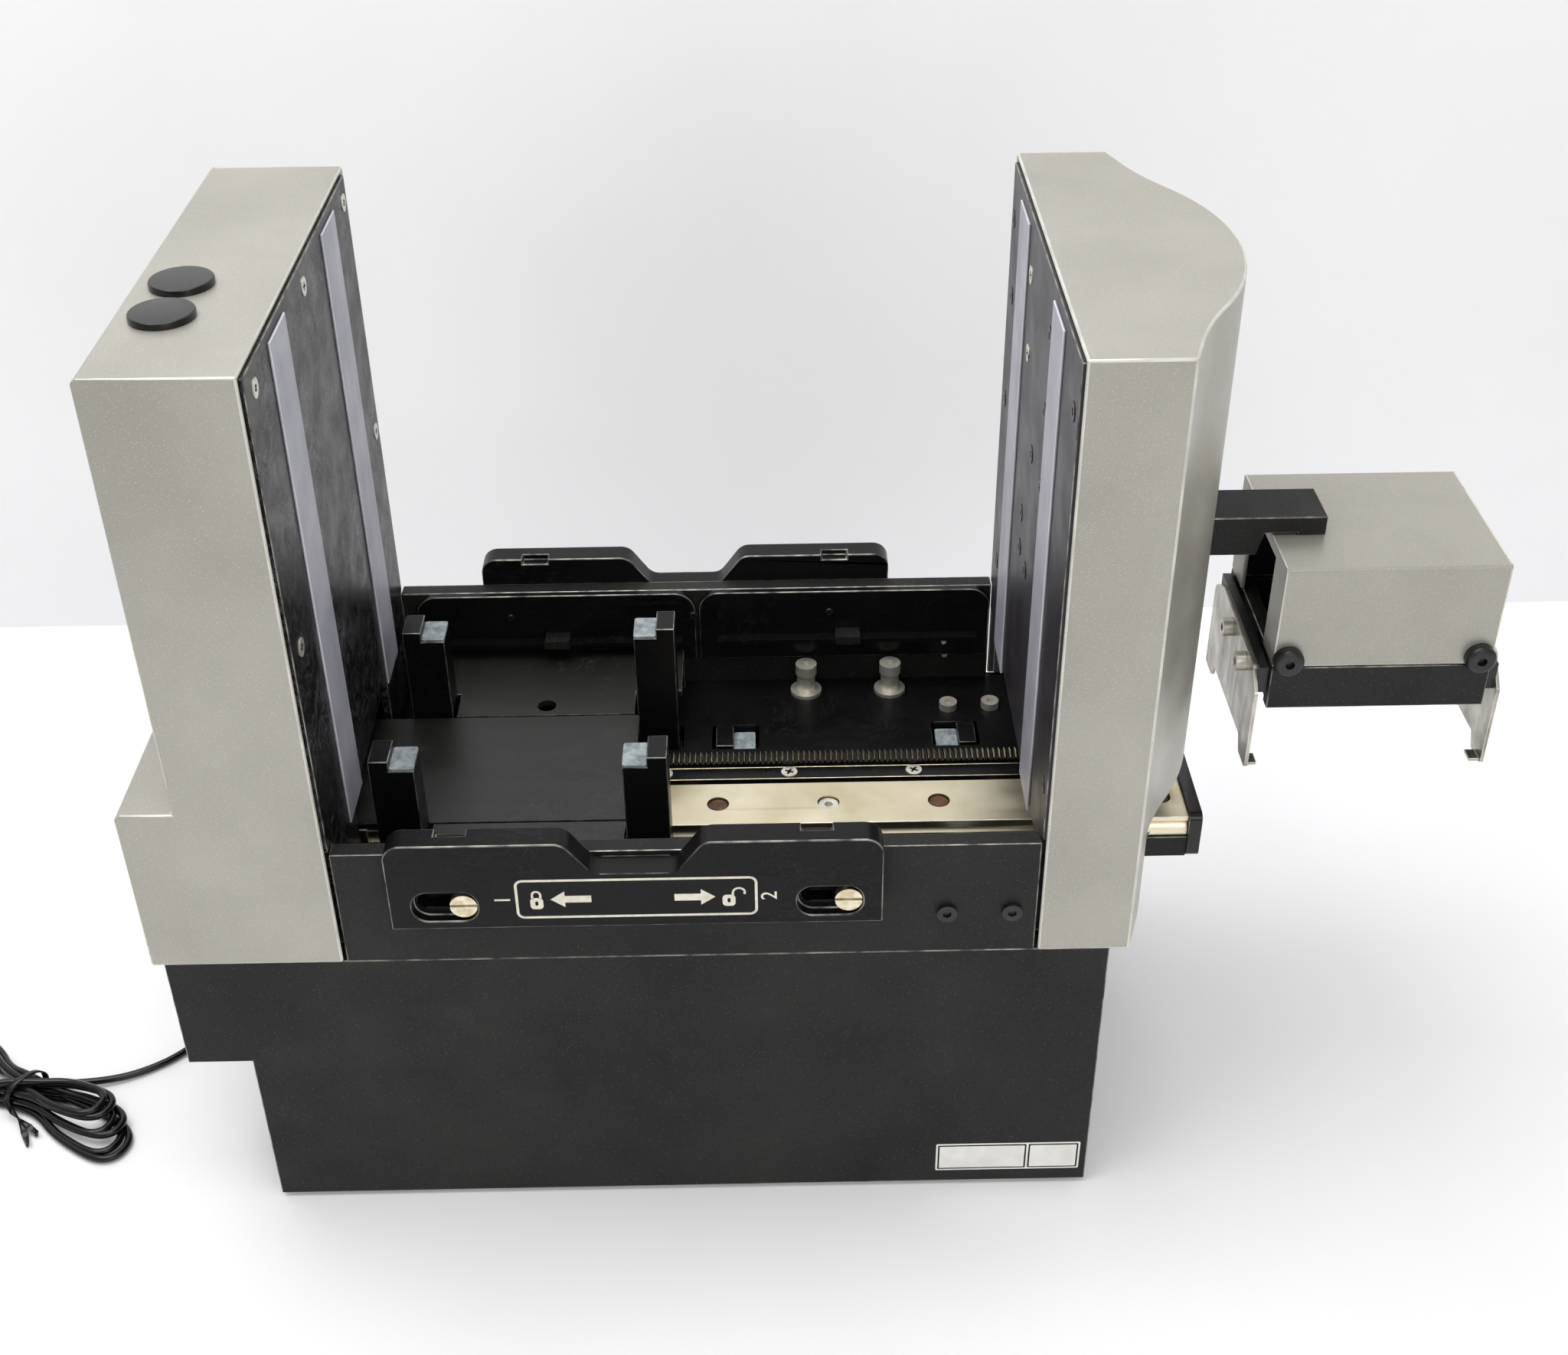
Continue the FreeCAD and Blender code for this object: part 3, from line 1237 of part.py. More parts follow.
def gripper_frame():
    """The black frame in the head: a ring of bars, two posts and a top plate under the arm."""
    bar_level = (head_foot, head_cover_foot - BLOCK_GAP)
    behind = 2 * HEAD_SHEET
    lower = box(head_x(HEAD_INSET), head_y(behind), bar_level)
    low_inner = box(head_x(HEAD_INSET + FRAME_BAR), head_y(behind + FRAME_BAR), (head_foot, head_cover_foot))
    ring = lower.cut(low_inner)
    front, back = head_y()
    bars = [
        box(head_x(), (front, front + FRAME_BAR), bar_level),
        box(head_x(), (back - FRAME_BAR, back), bar_level),
    ]
    inside = HEAD_SHEET + BLOCK_GAP
    top_level = head_top - inside
    front, back = head_y(inside)
    walls = [
        box(head_x(inside), (front, front + HEAD_WALL), (head_cover_foot - 1, top_level)),
        box(head_x(inside), (back - HEAD_WALL, back), (head_cover_foot - 1, top_level)),
    ]
    top = box(head_x(inside), head_y(inside), (top_level - HEAD_WALL, top_level))
    floor = box(head_x(HEAD_INSET), head_y(HEAD_FLOOR), (head_foot, head_foot + HEAD_FLOOR))
    axle_top = grip_level() + GRIP_PINION_FACE + 1
    axle = rod(GRIP_AXLE, (grip_x, HEAD_MIDDLE_Y, head_foot), (grip_x, HEAD_MIDDLE_Y, axle_top))
    slots = []
    for middle, side in grip_bars():
        y = around(middle, GRIP_BAR + 2 * BLOCK_GAP)
        z = (grip_level() - BLOCK_GAP, grip_level() + GRIP_PINION_FACE + BLOCK_GAP)
        slots.append(box(around(grip_x + side * CLAW_OFFSET / 2, 2 * CLAW_OFFSET), y, z))
    return cut(join(ring, *bars, *walls, top, floor, axle), *slots, *knob_holes())


def grip_level():
    """The foot of the claws' rack bars and of the pinion between them."""
    return side_bar_middle - GRIP_PINION_FACE / 2


def grip_bars():
    """The middle in Y of each claw's rack bar, with the side that the claw is on."""
    reach = grip_pinion_radius + PINION_LIFT + TOOTH_HEIGHT / 2 + GRIP_BAR / 2
    return ((HEAD_MIDDLE_Y - reach, -1), (HEAD_MIDDLE_Y + reach, 1))


def cover_knobs():
    """Two black button screws that hold the head cover to its frame."""
    front = head_y()[0]
    knobs = []
    for x in knob_places():
        head = Part.makeCylinder(KNOB_RADIUS, KNOB_HEIGHT, V(x, front, knob_level()), V(0, -1, 0))
        face = front - KNOB_HEIGHT
        rim = [e for e in head.Edges if abs(e.CenterOfMass.y - face) < 1e-3]
        head = head.makeFillet(KNOB_ROUND, rim)
        socket = rod(SMALL_SOCKET, (x, face, knob_level()), (x, face + SMALL_SOCKET, knob_level()))
        shank = rod(KNOB_SHANK[0], (x, front, knob_level()), (x, front + KNOB_SHANK[1], knob_level()))
        knobs.append(join(head, shank).cut(socket))
    return knobs


def claw(side):
    """A bent steel sheet with two fingers. Each finger ends in a hook under the plate."""
    middle = grip_x + side * CLAW_OFFSET
    low, high = around(HEAD_MIDDLE_Y, CLAW_DEPTH)
    inner = FINGER_WIDTH + 2.5
    outline = [
        (low, claw_tip, 1.5), (low + FINGER_WIDTH, claw_tip, 1.5), (low + inner, claw_edge, 1),
        (high - inner, claw_edge, 1), (high - FINGER_WIDTH, claw_tip, 1.5), (high, claw_tip, 1.5),
        (high, claw_top, 6), (high - 9, claw_top + CLAW_HEM, 4), (low + 7, claw_top + CLAW_HEM, 4),
        (low, claw_top - 3, 3),
    ]
    sheet = plate(outline, on_side(middle - CLAW_SHEET / 2), V(CLAW_SHEET, 0, 0))
    hooks = []
    for y in ((low, low + FINGER_WIDTH - 2), (high - FINGER_WIDTH + 2, high)):
        x = sorted((middle + side * CLAW_SHEET / 2, middle - side * CLAW_HOOK))
        hooks.append(box(x, (y[0] + 1.5, y[1] - 1), (claw_tip, claw_tip + CLAW_SHEET)))
    holes = []
    x = around(middle, 2 * CLAW_SHEET)
    for y, z in claw_screw_places():
        holes.append(rod(CLAW_SCREW[2], (x[0], y, z), (x[1], y, z)))
    return cut(join(sheet, *hooks), *holes)


def claw_screw_places():
    return [(HEAD_MIDDLE_Y + offset, claw_top - CLAW_SCREW_DROP) for offset in CLAW_SCREWS]


def claw_mount(side):
    """The black side bar of a claw, its rack bar into the head, and the screws that hold the claw."""
    sheet_inner = grip_x + side * (CLAW_OFFSET - CLAW_SHEET / 2)
    bar_inner = sheet_inner - side * SIDE_BAR[0]
    y = around(HEAD_MIDDLE_Y, SIDE_BAR[1])
    bar = box(sorted((sheet_inner, bar_inner)), y, around(side_bar_middle, SIDE_BAR[2]))
    middle, _ = grip_bars()[0 if side < 0 else 1]
    rack_y = around(middle, GRIP_BAR)
    z = (grip_level(), grip_level() + GRIP_PINION_FACE)
    inner_end = grip_x - side * GRIP_BAR_REACH
    rack_bar = box(sorted((bar_inner, inner_end)), rack_y, z)
    toothed = rack_y[1] if side < 0 else rack_y[0]
    outline = [(p[0], toothed - side * (p[1] - TOOTH_HEIGHT * 0.5)) for p in grip_teeth(side)]
    teeth = plate(outline, on_top(z[0]), V(0, 0, GRIP_PINION_FACE))
    relief_x = around(grip_x, 2 * GRIP_BAR_REACH + 2 * TOOTH_PITCH)
    relief = box(relief_x, sorted((toothed, toothed + side * TOOTH_HEIGHT)), z)
    solid = join(bar, cut(rack_bar, relief), teeth)
    screws = []
    outer = grip_x + side * claw_out
    head, shank = CLAW_SCREW[:2], (CLAW_SCREW[2], CLAW_SHEET)
    for y, z in claw_screw_places():
        screws.append(cap_screw((outer, y, z), (side, 0, 0), head, shank, SMALL_SOCKET))
    return [solid] + screws


def grip_teeth(side):
    """Teeth along a claw's rack bar, with a tooth at the pinion's middle."""
    half = int(GRIP_BAR_REACH / TOOTH_PITCH)
    count = 2 * half + 1
    start = grip_x - half * TOOTH_PITCH
    row = tooth_row(start, count, 0)
    left, right = start - TOOTH_PITCH, start + count * TOOTH_PITCH
    return [(left, -TOOTH_HEIGHT), (left, 0)] + row + [(right, 0), (right, -TOOTH_HEIGHT)]


def grip_pinion():
    """The small gear that moves the two claws against each other."""
    wheel = gear(GRIP_PINION_TEETH, GRIP_PINION_FACE, GRIP_AXLE + RUNNING_GAP)
    wheel.translate(V(grip_x, HEAD_MIDDLE_Y, grip_level()))
    return wheel


def gripper_lead_screw():
    """The lead screw of the gripper, hanging from its motor."""
    at = (tower_screw_x, HEAD_MIDDLE_Y)
    return rod(SCREW_RADIUS, (*at, tunnel_top + SHEET_FIT), (*at, tower_motor_foot() - SHEET_FIT))


def gripper_motor():
    """The motor in the head of the right tower."""
    foot = tower_motor_foot()
    half = MOTOR_SIDE / 2
    x, y = tower_screw_x, HEAD_MIDDLE_Y
    outline = rectangle((x - half, x + half), (y - half, y + half), MOTOR_CORNER)
    return plate(outline, on_top(foot), V(0, 0, MOTOR_LENGTH))


# Lead. Its points are chosen by hand, with heights above the bench.
# The tube is straight runs joined by tangent arcs.
CORD_POINTS = [
    (-12.0, 188.0, 24.0), (-12.0, 203.0, 24.0), (-17.0, 219.0, 13.5), (-31.0, 230.0, 4.6),
    (-52.0, 228.0, 1.7), (-69.0, 213.0, 1.7), (-76.0, 189.0, 1.7), (-72.6, 160.0, 1.7),
    (-71.5, 130.0, 1.7), (-78.0, 102.0, 1.7), (-94.0, 80.0, 1.7), (-109.0, 67.5, 1.7), (-124.0, 60.0, 3.2),
]
TAIL_POINTS = [(-166.5, 49.0, 4.6), (-176.0, 38.5, 3.0), (-188.5, 30.0, 2.6), (-204.0, 23.5, 4.6)]


def above_bench(point):
    """A place given with its height above the bench."""
    return V(point[0], point[1], point[2] - FOOT_HEIGHT)


def cord_tube(points):
    """A tube along straight runs and tangent arcs. Prints each arc's radius."""
    places = [above_bench(p) for p in points]
    ends = [(places[0], places[0], places[0])]
    radii = []
    for before, here, after in zip(places, places[1:], places[2:]):
        back, on = before - here, after - here
        reach = 0.45 * min(back.Length, on.Length)
        turn = math.pi - back.getAngle(on)
        radius = reach / math.tan(turn / 2)
        radii.append(round(radius, 1))
        back.normalize()
        on.normalize()
        middle_way = back + on
        middle_way.normalize()
        middle = here + middle_way * (radius / math.cos(turn / 2) - radius)
        ends.append((here + back * reach, middle, here + on * reach))
    ends.append((places[-1], places[-1], places[-1]))
    edges = []
    for (start, middle, end), following in zip(ends, ends[1:] + [None]):
        if (end - start).Length > 1e-6:
            edges.append(Part.Arc(start, middle, end).toShape())
        if following:
            edges.append(Part.LineSegment(end, following[0]).toShape())
    path = Part.Wire(edges)
    way = places[1] - places[0]
    ring = Part.Wire(Part.Circle(places[0], way, CORD_RADIUS).toShape())
    tube = path.makePipeShell([ring], True, False)
    section = math.pi * CORD_RADIUS**2
    share = tube.Volume / section / path.Length
    print("cord radii", radii, "length", round(path.Length, 1), "volume share", round(share, 3))
    return tube


def power_cord():
    """The lead's two free stretches: from the gland to the hank, and from the hank to the plug."""
    return [cord_tube(CORD_POINTS), cord_tube(TAIL_POINTS)]


def hank_half_width(along):
    """Half the hank's width at a place from -1 to 1 along it: narrow at the tie, wide at the loops."""
    loop = math.sin(min(1.0, abs(along) * 1.15) * math.pi / 2) ** 1.2
    return (HANK_WAIST + (HANK[1] - HANK_WAIST) * loop) / 2 * math.sqrt(max(0.0, 1 - abs(along) ** 6))


def cord_hank():
    """The outer shape of the tied hank: a waist at the tie and two rounded loops."""
    steps = 12
    rows = [-1 + 2 * i / steps for i in range(steps + 1)][1:-1]
    half = HANK[0] / 2
    upper = [V(a * half, hank_half_width(a), 0) for a in rows]
    lower = [V(a * half, -hank_half_width(a), 0) for a in reversed(rows)]
    left, right = V(-half, 0, 0), V(half, 0, 0)
    ring = Part.makePolygon([left] + upper + [right] + lower + [left])
    body = Part.Face(ring).extrude(V(0, 0, HANK[2] - 1))
    body.translate(V(0, 0, -FOOT_HEIGHT + 0.3))
    body.rotate(V(0, 0, 0), V(0, 0, 1), HANK_TURN)
    body.translate(V(*HANK_AT, 0))
    return body


def cord_tie():
    """The twist tie: a band round the hank's waist, with two twisted ends."""
    half = HANK_WAIST / 2
    tall = HANK[2]
    wide = around(0, TIE_WIDTH)
    band = box(wide, (-half - TIE_THICK, half + TIE_THICK), (0, tall + TIE_THICK))
    band = band.cut(box(wide, (-half, half), (BLOCK_GAP, tall)))
    tail = rod(TIE_TAIL, (0, -half - TIE_THICK + SHEET_FIT, 3), (7, -half - 12, 2))
    tie = band.fuse(tail)
    tie.translate(V(0, 0, -FOOT_HEIGHT))
    tie.rotate(V(0, 0, 0), V(0, 0, 1), HANK_TURN)
    tie.translate(V(*HANK_AT, 0))
    return tie


def cord_plug():
    """The plug on the lead's far end: a moulded body and a bright barrel."""
    end, before = above_bench(TAIL_POINTS[-1]), above_bench(TAIL_POINTS[-2])
    way = V(end.x - before.x, end.y - before.y, 0)
    way.normalize()
    grip, grip_length, barrel, barrel_length = LEAD_PLUG
    body = Part.makeCylinder(grip, grip_length, end, way)
    return body.fuse(Part.makeCylinder(barrel, barrel_length, end + way * grip_length, way))


def shaped(make, *values):
    """Puts off making a node's shape until it is exported."""
    return lambda: make(*values)


NODES = {
    "base_enclosure": base_enclosure,
    "base_plate": base_plate,
    "rubber_feet": rubber_feet,
    "deck_plate": deck_plate,
    "front_wall": shaped(long_wall, True),
    "back_wall": shaped(long_wall, False),
    "back_liners": back_liners,
    "bay_floor_plates": bay_floor_plates,
    "body_screws": body_screws,
    "rear_panel": rear_panel,
    "rear_sockets": rear_sockets,
    "cord_gland": cord_gland,
    "left_tower_cover": left_tower_cover,
    "left_tower_panel": left_tower_panel,
    "left_tower_frame": left_tower_frame,
    "top_hole_plugs": top_hole_plugs,
    "right_tower_cover": right_tower_cover,
    "right_tower_panel": right_tower_panel,
    "right_tower_frame": right_tower_frame,
    "guide_strips": guide_strips,
    "panel_screws": panel_screws,
    "linear_rail": linear_rail,
    "rail_and_rack_screws": rail_and_rack_screws,
    "rail_support": rail_support,
    "rail_end_cap": rail_end_cap,
    "gear_rack": gear_rack,
    "carriage_block": carriage_block,
    "carrier_plate": carrier_plate,
    "carrier_motor": carrier_motor,
    "drive_pinion": drive_pinion,
    "lift_motors": lift_motors,
    "guide_shafts": guide_shafts,
    "control_board": control_board,
    "front_lock_plate": shaped(lock_plate, True),
    "back_lock_plate": shaped(lock_plate, False),
    "lock_screws": lock_screws,
    "gripper_motor": gripper_motor,
    "gripper_lead_screw": gripper_lead_screw,
    "gripper_carriage": gripper_carriage,
    "gripper_arm": gripper_arm,
    "gripper_frame": gripper_frame,
    "gripper_cover": gripper_cover,
    "cover_knobs": cover_knobs,
    "grip_pinion": grip_pinion,
    "power_cord": power_cord,
    "cord_hank": cord_hank,
    "cord_tie": cord_tie,
    "cord_plug": cord_plug,
}
for bay_index, bay_name in enumerate(("input", "output")):
    NODES[bay_name + "_lift_frame"] = shaped(lift_frame, bay_index)
    NODES[bay_name + "_lift_pads"] = shaped(lift_pads, bay_index)
    NODES[bay_name + "_lift_nut"] = shaped(lift_nut, bay_index)
    NODES[bay_name + "_lead_screw"] = shaped(lead_screw, bay_index)
for claw_side, claw_name in ((-1, "left"), (1, "right")):
    NODES[claw_name + "_claw"] = shaped(claw, claw_side)
    NODES[claw_name + "_claw_mount"] = shaped(claw_mount, claw_side)

os.makedirs("parts", exist_ok=True)
for node_name, make_node in NODES.items():
    made = make_node()
    pieces = made if isinstance(made, list) else [made]
    solids = [solid for piece in pieces for solid in piece.Solids]
    whole = solids[0] if len(solids) == 1 else Part.makeCompound(solids)
    whole.translate(origin * -1)
    whole.exportStep(os.path.join("parts", node_name + ".step"))
    print(node_name, len(solids), "solids", "valid" if whole.isValid() else "NOT VALID", round(whole.Volume))
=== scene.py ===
import json
from math import copysign, cos, hypot, pi, radians, sin, sqrt

import bmesh
import bpy
from mathutils import Matrix, Vector

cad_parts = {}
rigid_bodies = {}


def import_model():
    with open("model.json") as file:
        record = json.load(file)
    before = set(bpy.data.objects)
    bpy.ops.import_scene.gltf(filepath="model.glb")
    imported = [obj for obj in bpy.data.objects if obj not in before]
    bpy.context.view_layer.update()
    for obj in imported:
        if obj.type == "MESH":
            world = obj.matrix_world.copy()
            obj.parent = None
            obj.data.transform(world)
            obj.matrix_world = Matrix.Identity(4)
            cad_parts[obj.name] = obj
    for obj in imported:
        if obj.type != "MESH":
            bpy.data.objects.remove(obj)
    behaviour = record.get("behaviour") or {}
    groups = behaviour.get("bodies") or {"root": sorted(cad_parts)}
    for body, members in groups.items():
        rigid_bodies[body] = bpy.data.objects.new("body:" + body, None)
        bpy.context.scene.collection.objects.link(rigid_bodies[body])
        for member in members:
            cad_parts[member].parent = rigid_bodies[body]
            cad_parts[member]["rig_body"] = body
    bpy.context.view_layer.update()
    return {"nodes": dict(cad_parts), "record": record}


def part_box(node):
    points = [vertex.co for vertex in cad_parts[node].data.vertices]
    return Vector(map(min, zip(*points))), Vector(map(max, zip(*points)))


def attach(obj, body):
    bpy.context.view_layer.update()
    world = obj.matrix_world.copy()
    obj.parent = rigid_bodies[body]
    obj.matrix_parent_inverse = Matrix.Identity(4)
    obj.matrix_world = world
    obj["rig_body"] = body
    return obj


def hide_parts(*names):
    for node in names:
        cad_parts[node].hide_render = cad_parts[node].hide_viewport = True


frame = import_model()

bl_info = {
    "name": "Microplate Stacker Dressing",
    "version": (1, 0, 0),
    "blender": (4, 5, 0),
    "location": "3D View > Sidebar > Stacker",
    "description": "Finishes, fine detail, lead and studio for a bench microplate stacker",
    "category": "Object",
}

# The layout frame of the part's source in millimetres starts at the left tower's inner face, the
# front of the towers and the base's lower edge. The scene's frame is metres from the footprint's middle.
ORIGIN = (166.7, 84.85, -2.0)


def at(x, y, z):
    """A layout place in millimetres as a place in the scene."""
    return Vector(((x - ORIGIN[0]) / 1000, (y - ORIGIN[1]) / 1000, (z - ORIGIN[2]) / 1000))


def on_bench(x, y, height):
    """A layout place whose height is measured from the bench."""
    return at(x, y, height + ORIGIN[2])


def srgb(code):
    """An sRGB hex colour as the linear colour that shaders take."""
    values = [int(code[i:i + 2], 16) / 255 for i in (1, 3, 5)]
    linear = [v / 12.92 if v <= 0.04045 else ((v + 0.055) / 1.055) ** 2.4 for v in values]
    return (*linear, 1.0)


def add(tree, kind, inputs=None, **settings):
    """One node with its settings. An input is a value, or the node or socket that feeds it."""
    node = tree.nodes.new(kind)
    for name, value in settings.items():
        setattr(node, name, value)
    for name, value in (inputs or {}).items():
        if isinstance(value, bpy.types.Node):
            value = value.outputs[0]
        if isinstance(value, bpy.types.NodeSocket):
            tree.links.new(value, node.inputs[name])
        else:
            node.inputs[name].default_value = value
    return node


def noise(tree, place, size, **more):
    """A noise whose patches have this size in millimetres."""
    return add(tree, "ShaderNodeTexNoise", {"Vector": place, "Scale": 1000 / size, **more})


def maths(tree, operation, first, second=0.5):
    """The result of an operation on one or two values."""
    return add(tree, "ShaderNodeMath", {0: first, 1: second}, operation=operation)


def rescaled(tree, value, given, wanted=(0.0, 1.0)):
    """A value led from one range into another and held at its ends."""
    ends = zip(("From Min", "From Max", "To Min", "To Max"), (*given, *wanted))
    return add(tree, "ShaderNodeMapRange", {"Value": value, **dict(ends)})


def mixed(tree, share, first, second):
    """Two colours mixed by a share."""
    return add(tree, "ShaderNodeMix", {0: share, 6: first, 7: second}, data_type="RGBA").outputs[2]


def linked(name, data):
    """A new object in the scene."""
    obj = bpy.data.objects.new(name, data)
    bpy.context.scene.collection.objects.link(obj)
    return obj


# Finishes
# Each finish has two colours that a slow noise mixes, the size of its patches, its range of
# roughness, the size and depth of its grain and the shader's constants. Lengths are millimetres.
# "along" stretches the grain. "flecks" are small dots: size, share of the cell, colour. "hairs" are
# fine curved scratches: spacing, width as a share of the noise, colour. "worn" is the
# finish of its bevelled edges, paler on most finishes: painted highlight where the folds catch the light.
FINISHES = {
    # Silver enamel on sheet steel, with an orange peel of about a millimetre.
    "satin_silver_enamel": dict(
        tones=("#afada3", "#a3a197"), patch=70, rough=(0.36, 0.46), grain=(1.1, 0.01), metal=0.5, coat=0.1,
        coat_rough=0.3, flecks=(0.9, 0.2, "#d2d0c6"), worn="enamel_edge_highlight",
    ),
    # The same enamel on the folds, paler and smoother: painted highlight where the folds catch the light.
    "enamel_edge_highlight": dict(
        tones=("#dfddd4", "#c6c4bb"), patch=14, rough=(0.26, 0.36), grain=(1.4, 0.004), metal=0.35,
    ),
    # Powder coat: matt, with a fine orange peel whose pale specks are painted glints.
    "black_powder_coat": dict(
        tones=("#262524", "#1c1b1b"), patch=45, rough=(0.5, 0.62), grain=(0.9, 0.05), ior=1.5, gloss=0.24,
        flecks=(1.5, 0.16, "#4d4b48"), worn="black_edge_highlight",
    ),
    # Anodised sheet that plates have rubbed for years, painted darker than the other tower's: painted shade
    # on the left tower's inner panel.
    "scratched_black_anodised": dict(
        tones=("#131315", "#060607"), patch=30, rough=(0.26, 0.42), grain=(3.5, 0.008), ior=1.6, gloss=0.2,
        hairs=(12, 0.022, "#77757a"), flecks=(3.1, 0.1, "#76746f"), worn="black_edge_highlight",
    ),
    # The same sheet on the other tower, less rubbed and painted lighter: painted light on the right tower's
    # inner panel.
    "dull_black_anodised": dict(
        tones=("#312d34", "#252228"), patch=60, rough=(0.36, 0.5), grain=(2.0, 0.008), ior=1.6, gloss=0.4,
        hairs=(30, 0.008, "#4c4950"), worn="black_edge_highlight",
    ),
    # Black anodised sheet whose dark tone holds painted shade of the bays, where the deck, liners and lift
    # frames stand; the lock plates and rack share it.
    "satin_black_anodised": dict(
        tones=("#121213", "#0a0a0b"), patch=35, rough=(0.26, 0.38), grain=(1.2, 0.006), ior=1.6, gloss=0.13,
        hairs=(26, 0.008, "#343436"), worn="black_edge_highlight",
    ),
    # Pale metal on the folds of black parts: painted highlight where the corners catch the light.
    "black_edge_highlight": dict(
        tones=("#a19e95", "#434344"), patch=6, rough=(0.28, 0.4), grain=(1.0, 0.004), metal=0.7,
    ),
    # Aluminium sheet, brushed before the bath.
    "grey_anodised_plate": dict(
        tones=("#252422", "#181816"), patch=50, rough=(0.3, 0.44), grain=(1.6, 0.008), along=(0.06, 1, 1),
        ior=1.6, gloss=0.34, hairs=(34, 0.008, "#444340"), worn="black_edge_highlight",
    ),
    # A warm film of oil, grinding marks along the travel.
    "ground_rail_steel": dict(
        tones=("#f1e8cf", "#d8cdab"), patch=26, rough=(0.26, 0.38), grain=(0.9, 0.004), along=(0.03, 1, 1),
        metal=1.0, worn="turned_stainless",
    ),
    # Old grease and rust in the counterbores.
    "greased_rail_bore": dict(
        tones=("#6b4424", "#3a2415"), patch=3, rough=(0.35, 0.6), grain=(0.8, 0.05), ior=1.48,
    ),
    # Screws, a little dull from handling.
    "turned_stainless": dict(
        tones=("#ebe7dc", "#cfcabd"), patch=5, rough=(0.32, 0.42), grain=(2.0, 0.002), metal=0.7,
    ),
    # Slotted heads whose plating has gone warm.
    "warm_nickel": dict(
        tones=("#eee4cb", "#c6b893"), patch=3, rough=(0.26, 0.4), grain=(1.4, 0.003), metal=1.0,
        worn="turned_stainless",
    ),
    "brushed_claw_steel": dict(
        tones=("#c9c6be", "#8f8b82"), patch=14, rough=(0.26, 0.4), grain=(1.0, 0.004), along=(1, 1, 0.08),
        metal=1.0, worn="turned_stainless",
    ),
    # Screws with a slight sheen of oil.
    "black_oxide": dict(
        tones=("#1c1c1d", "#0f0f10"), patch=4, rough=(0.3, 0.44), grain=(1.2, 0.004), ior=1.6, gloss=0.4,
    ),
    # Recesses that light hardly reaches.
    "recess_shadow": dict(
        tones=("#0b0b0b", "#050505"), patch=3, rough=(0.6, 0.8), grain=(0.5, 0.01), ior=1.45,
    ),
    "moulded_black_nylon": dict(
        tones=("#0f0f10", "#0a0a0b"), patch=12, rough=(0.1, 0.2), grain=(2.5, 0.02), ior=1.53, gloss=0.35,
        coat=0.15, coat_rough=0.08,
    ),
    # Low-friction strip that the plates slide on: lilac grey, waxy.
    "pale_slide_strip": dict(
        tones=("#b7b7c1", "#a2a2ae"), patch=22, rough=(0.34, 0.5), grain=(1.2, 0.015), along=(1, 1, 0.1),
        ior=1.42, worn="strip_edge",
    ),
    # Its slit edge is whiter: a painted highlight where the edge catches the light.
    "strip_edge": dict(
        tones=("#e9e9ef", "#cfcfd8"), patch=12, rough=(0.3, 0.4), grain=(1.0, 0.01), ior=1.42,
    ),
    # Cast pads, mottled by wear.
    "milky_silicone_pad": dict(
        tones=("#a3abad", "#6d787d"), patch=3.2, rough=(0.3, 0.5), grain=(0.9, 0.03), ior=1.43,
    ),
    "moulded_rubber": dict(
        tones=("#242424", "#191919"), patch=8, rough=(0.7, 0.85), grain=(0.7, 0.03), ior=1.5,
    ),
    "green_solder_resist": dict(
        tones=("#1d5c3a", "#123f27"), patch=9, rough=(0.25, 0.4), grain=(1.5, 0.02), ior=1.5,
    ),
    "lacquered_motor": dict(
        tones=("#5c5a56", "#2e2d2c"), patch=14, rough=(0.3, 0.5), grain=(0.5, 0.02), along=(1, 1, 6),
        metal=0.7,
    ),
    "bearing_bronze": dict(
        tones=("#c79a56", "#8f6a35"), patch=6, rough=(0.28, 0.42), grain=(0.6, 0.02), metal=1.0,
    ),
    # Sheet inside the covers, cloudy.
    "zinc_plated_sheet": dict(
        tones=("#b9bcbc", "#8d9191"), patch=11, rough=(0.35, 0.55), grain=(2.0, 0.01), metal=0.9,
    ),
    # Hard steel shafts and lead screws.
    "polished_shaft": dict(
        tones=("#d8d8d6", "#a9a9a6"), patch=20, rough=(0.12, 0.22), grain=(0.5, 0.004), metal=1.0,
    ),
    # The lead's jacket and its tie.
    "glossy_black_vinyl": dict(
        tones=("#131214", "#0b0b0c"), patch=14, rough=(0.14, 0.26), grain=(1.1, 0.02), ior=1.54, gloss=0.3,
        coat=0.08, coat_rough=0.1,
    ),
    # Screen print, slightly worn.
    "warm_white_ink": dict(
        tones=("#f0ecdc", "#d9d4c2"), patch=2.5, rough=(0.45, 0.6), grain=(0.5, 0.008), ior=1.5,
    ),
    # The field that carries the symbols, smoother than the plate.
    "black_print_field": dict(
        tones=("#101013", "#0a0a0c"), patch=18, rough=(0.2, 0.3), grain=(1.2, 0.004), ior=1.55, gloss=0.16,
    ),
    "white_vinyl_sticker": dict(
        tones=("#f4f3ef", "#e6e4dd"), patch=8, rough=(0.3, 0.42), grain=(1.0, 0.01), ior=1.5,
    ),
    # Bench and wall, which glow a little.
    "white_laminate": dict(
        tones=("#f1f1f3", "#ececee"), patch=180, rough=(0.55, 0.7), grain=(3.0, 0.004), ior=1.3, glow=0.1,
    ),
}


SHADER_INPUTS = {
    "ior": "IOR", "gloss": "Specular IOR Level", "metal": "Metallic", "coat": "Coat Weight",
    "coat_rough": "Coat Roughness", "glow": "Emission Strength",
}
# The parts of a noise's range over which patches and smudges change, how much flecks and hairs show.
PATCH_BAND, SMUDGE_BAND, FLECK_SHARE, HAIR_SHARE = (0.34, 0.66), (0.3, 0.7), 0.55, 0.8


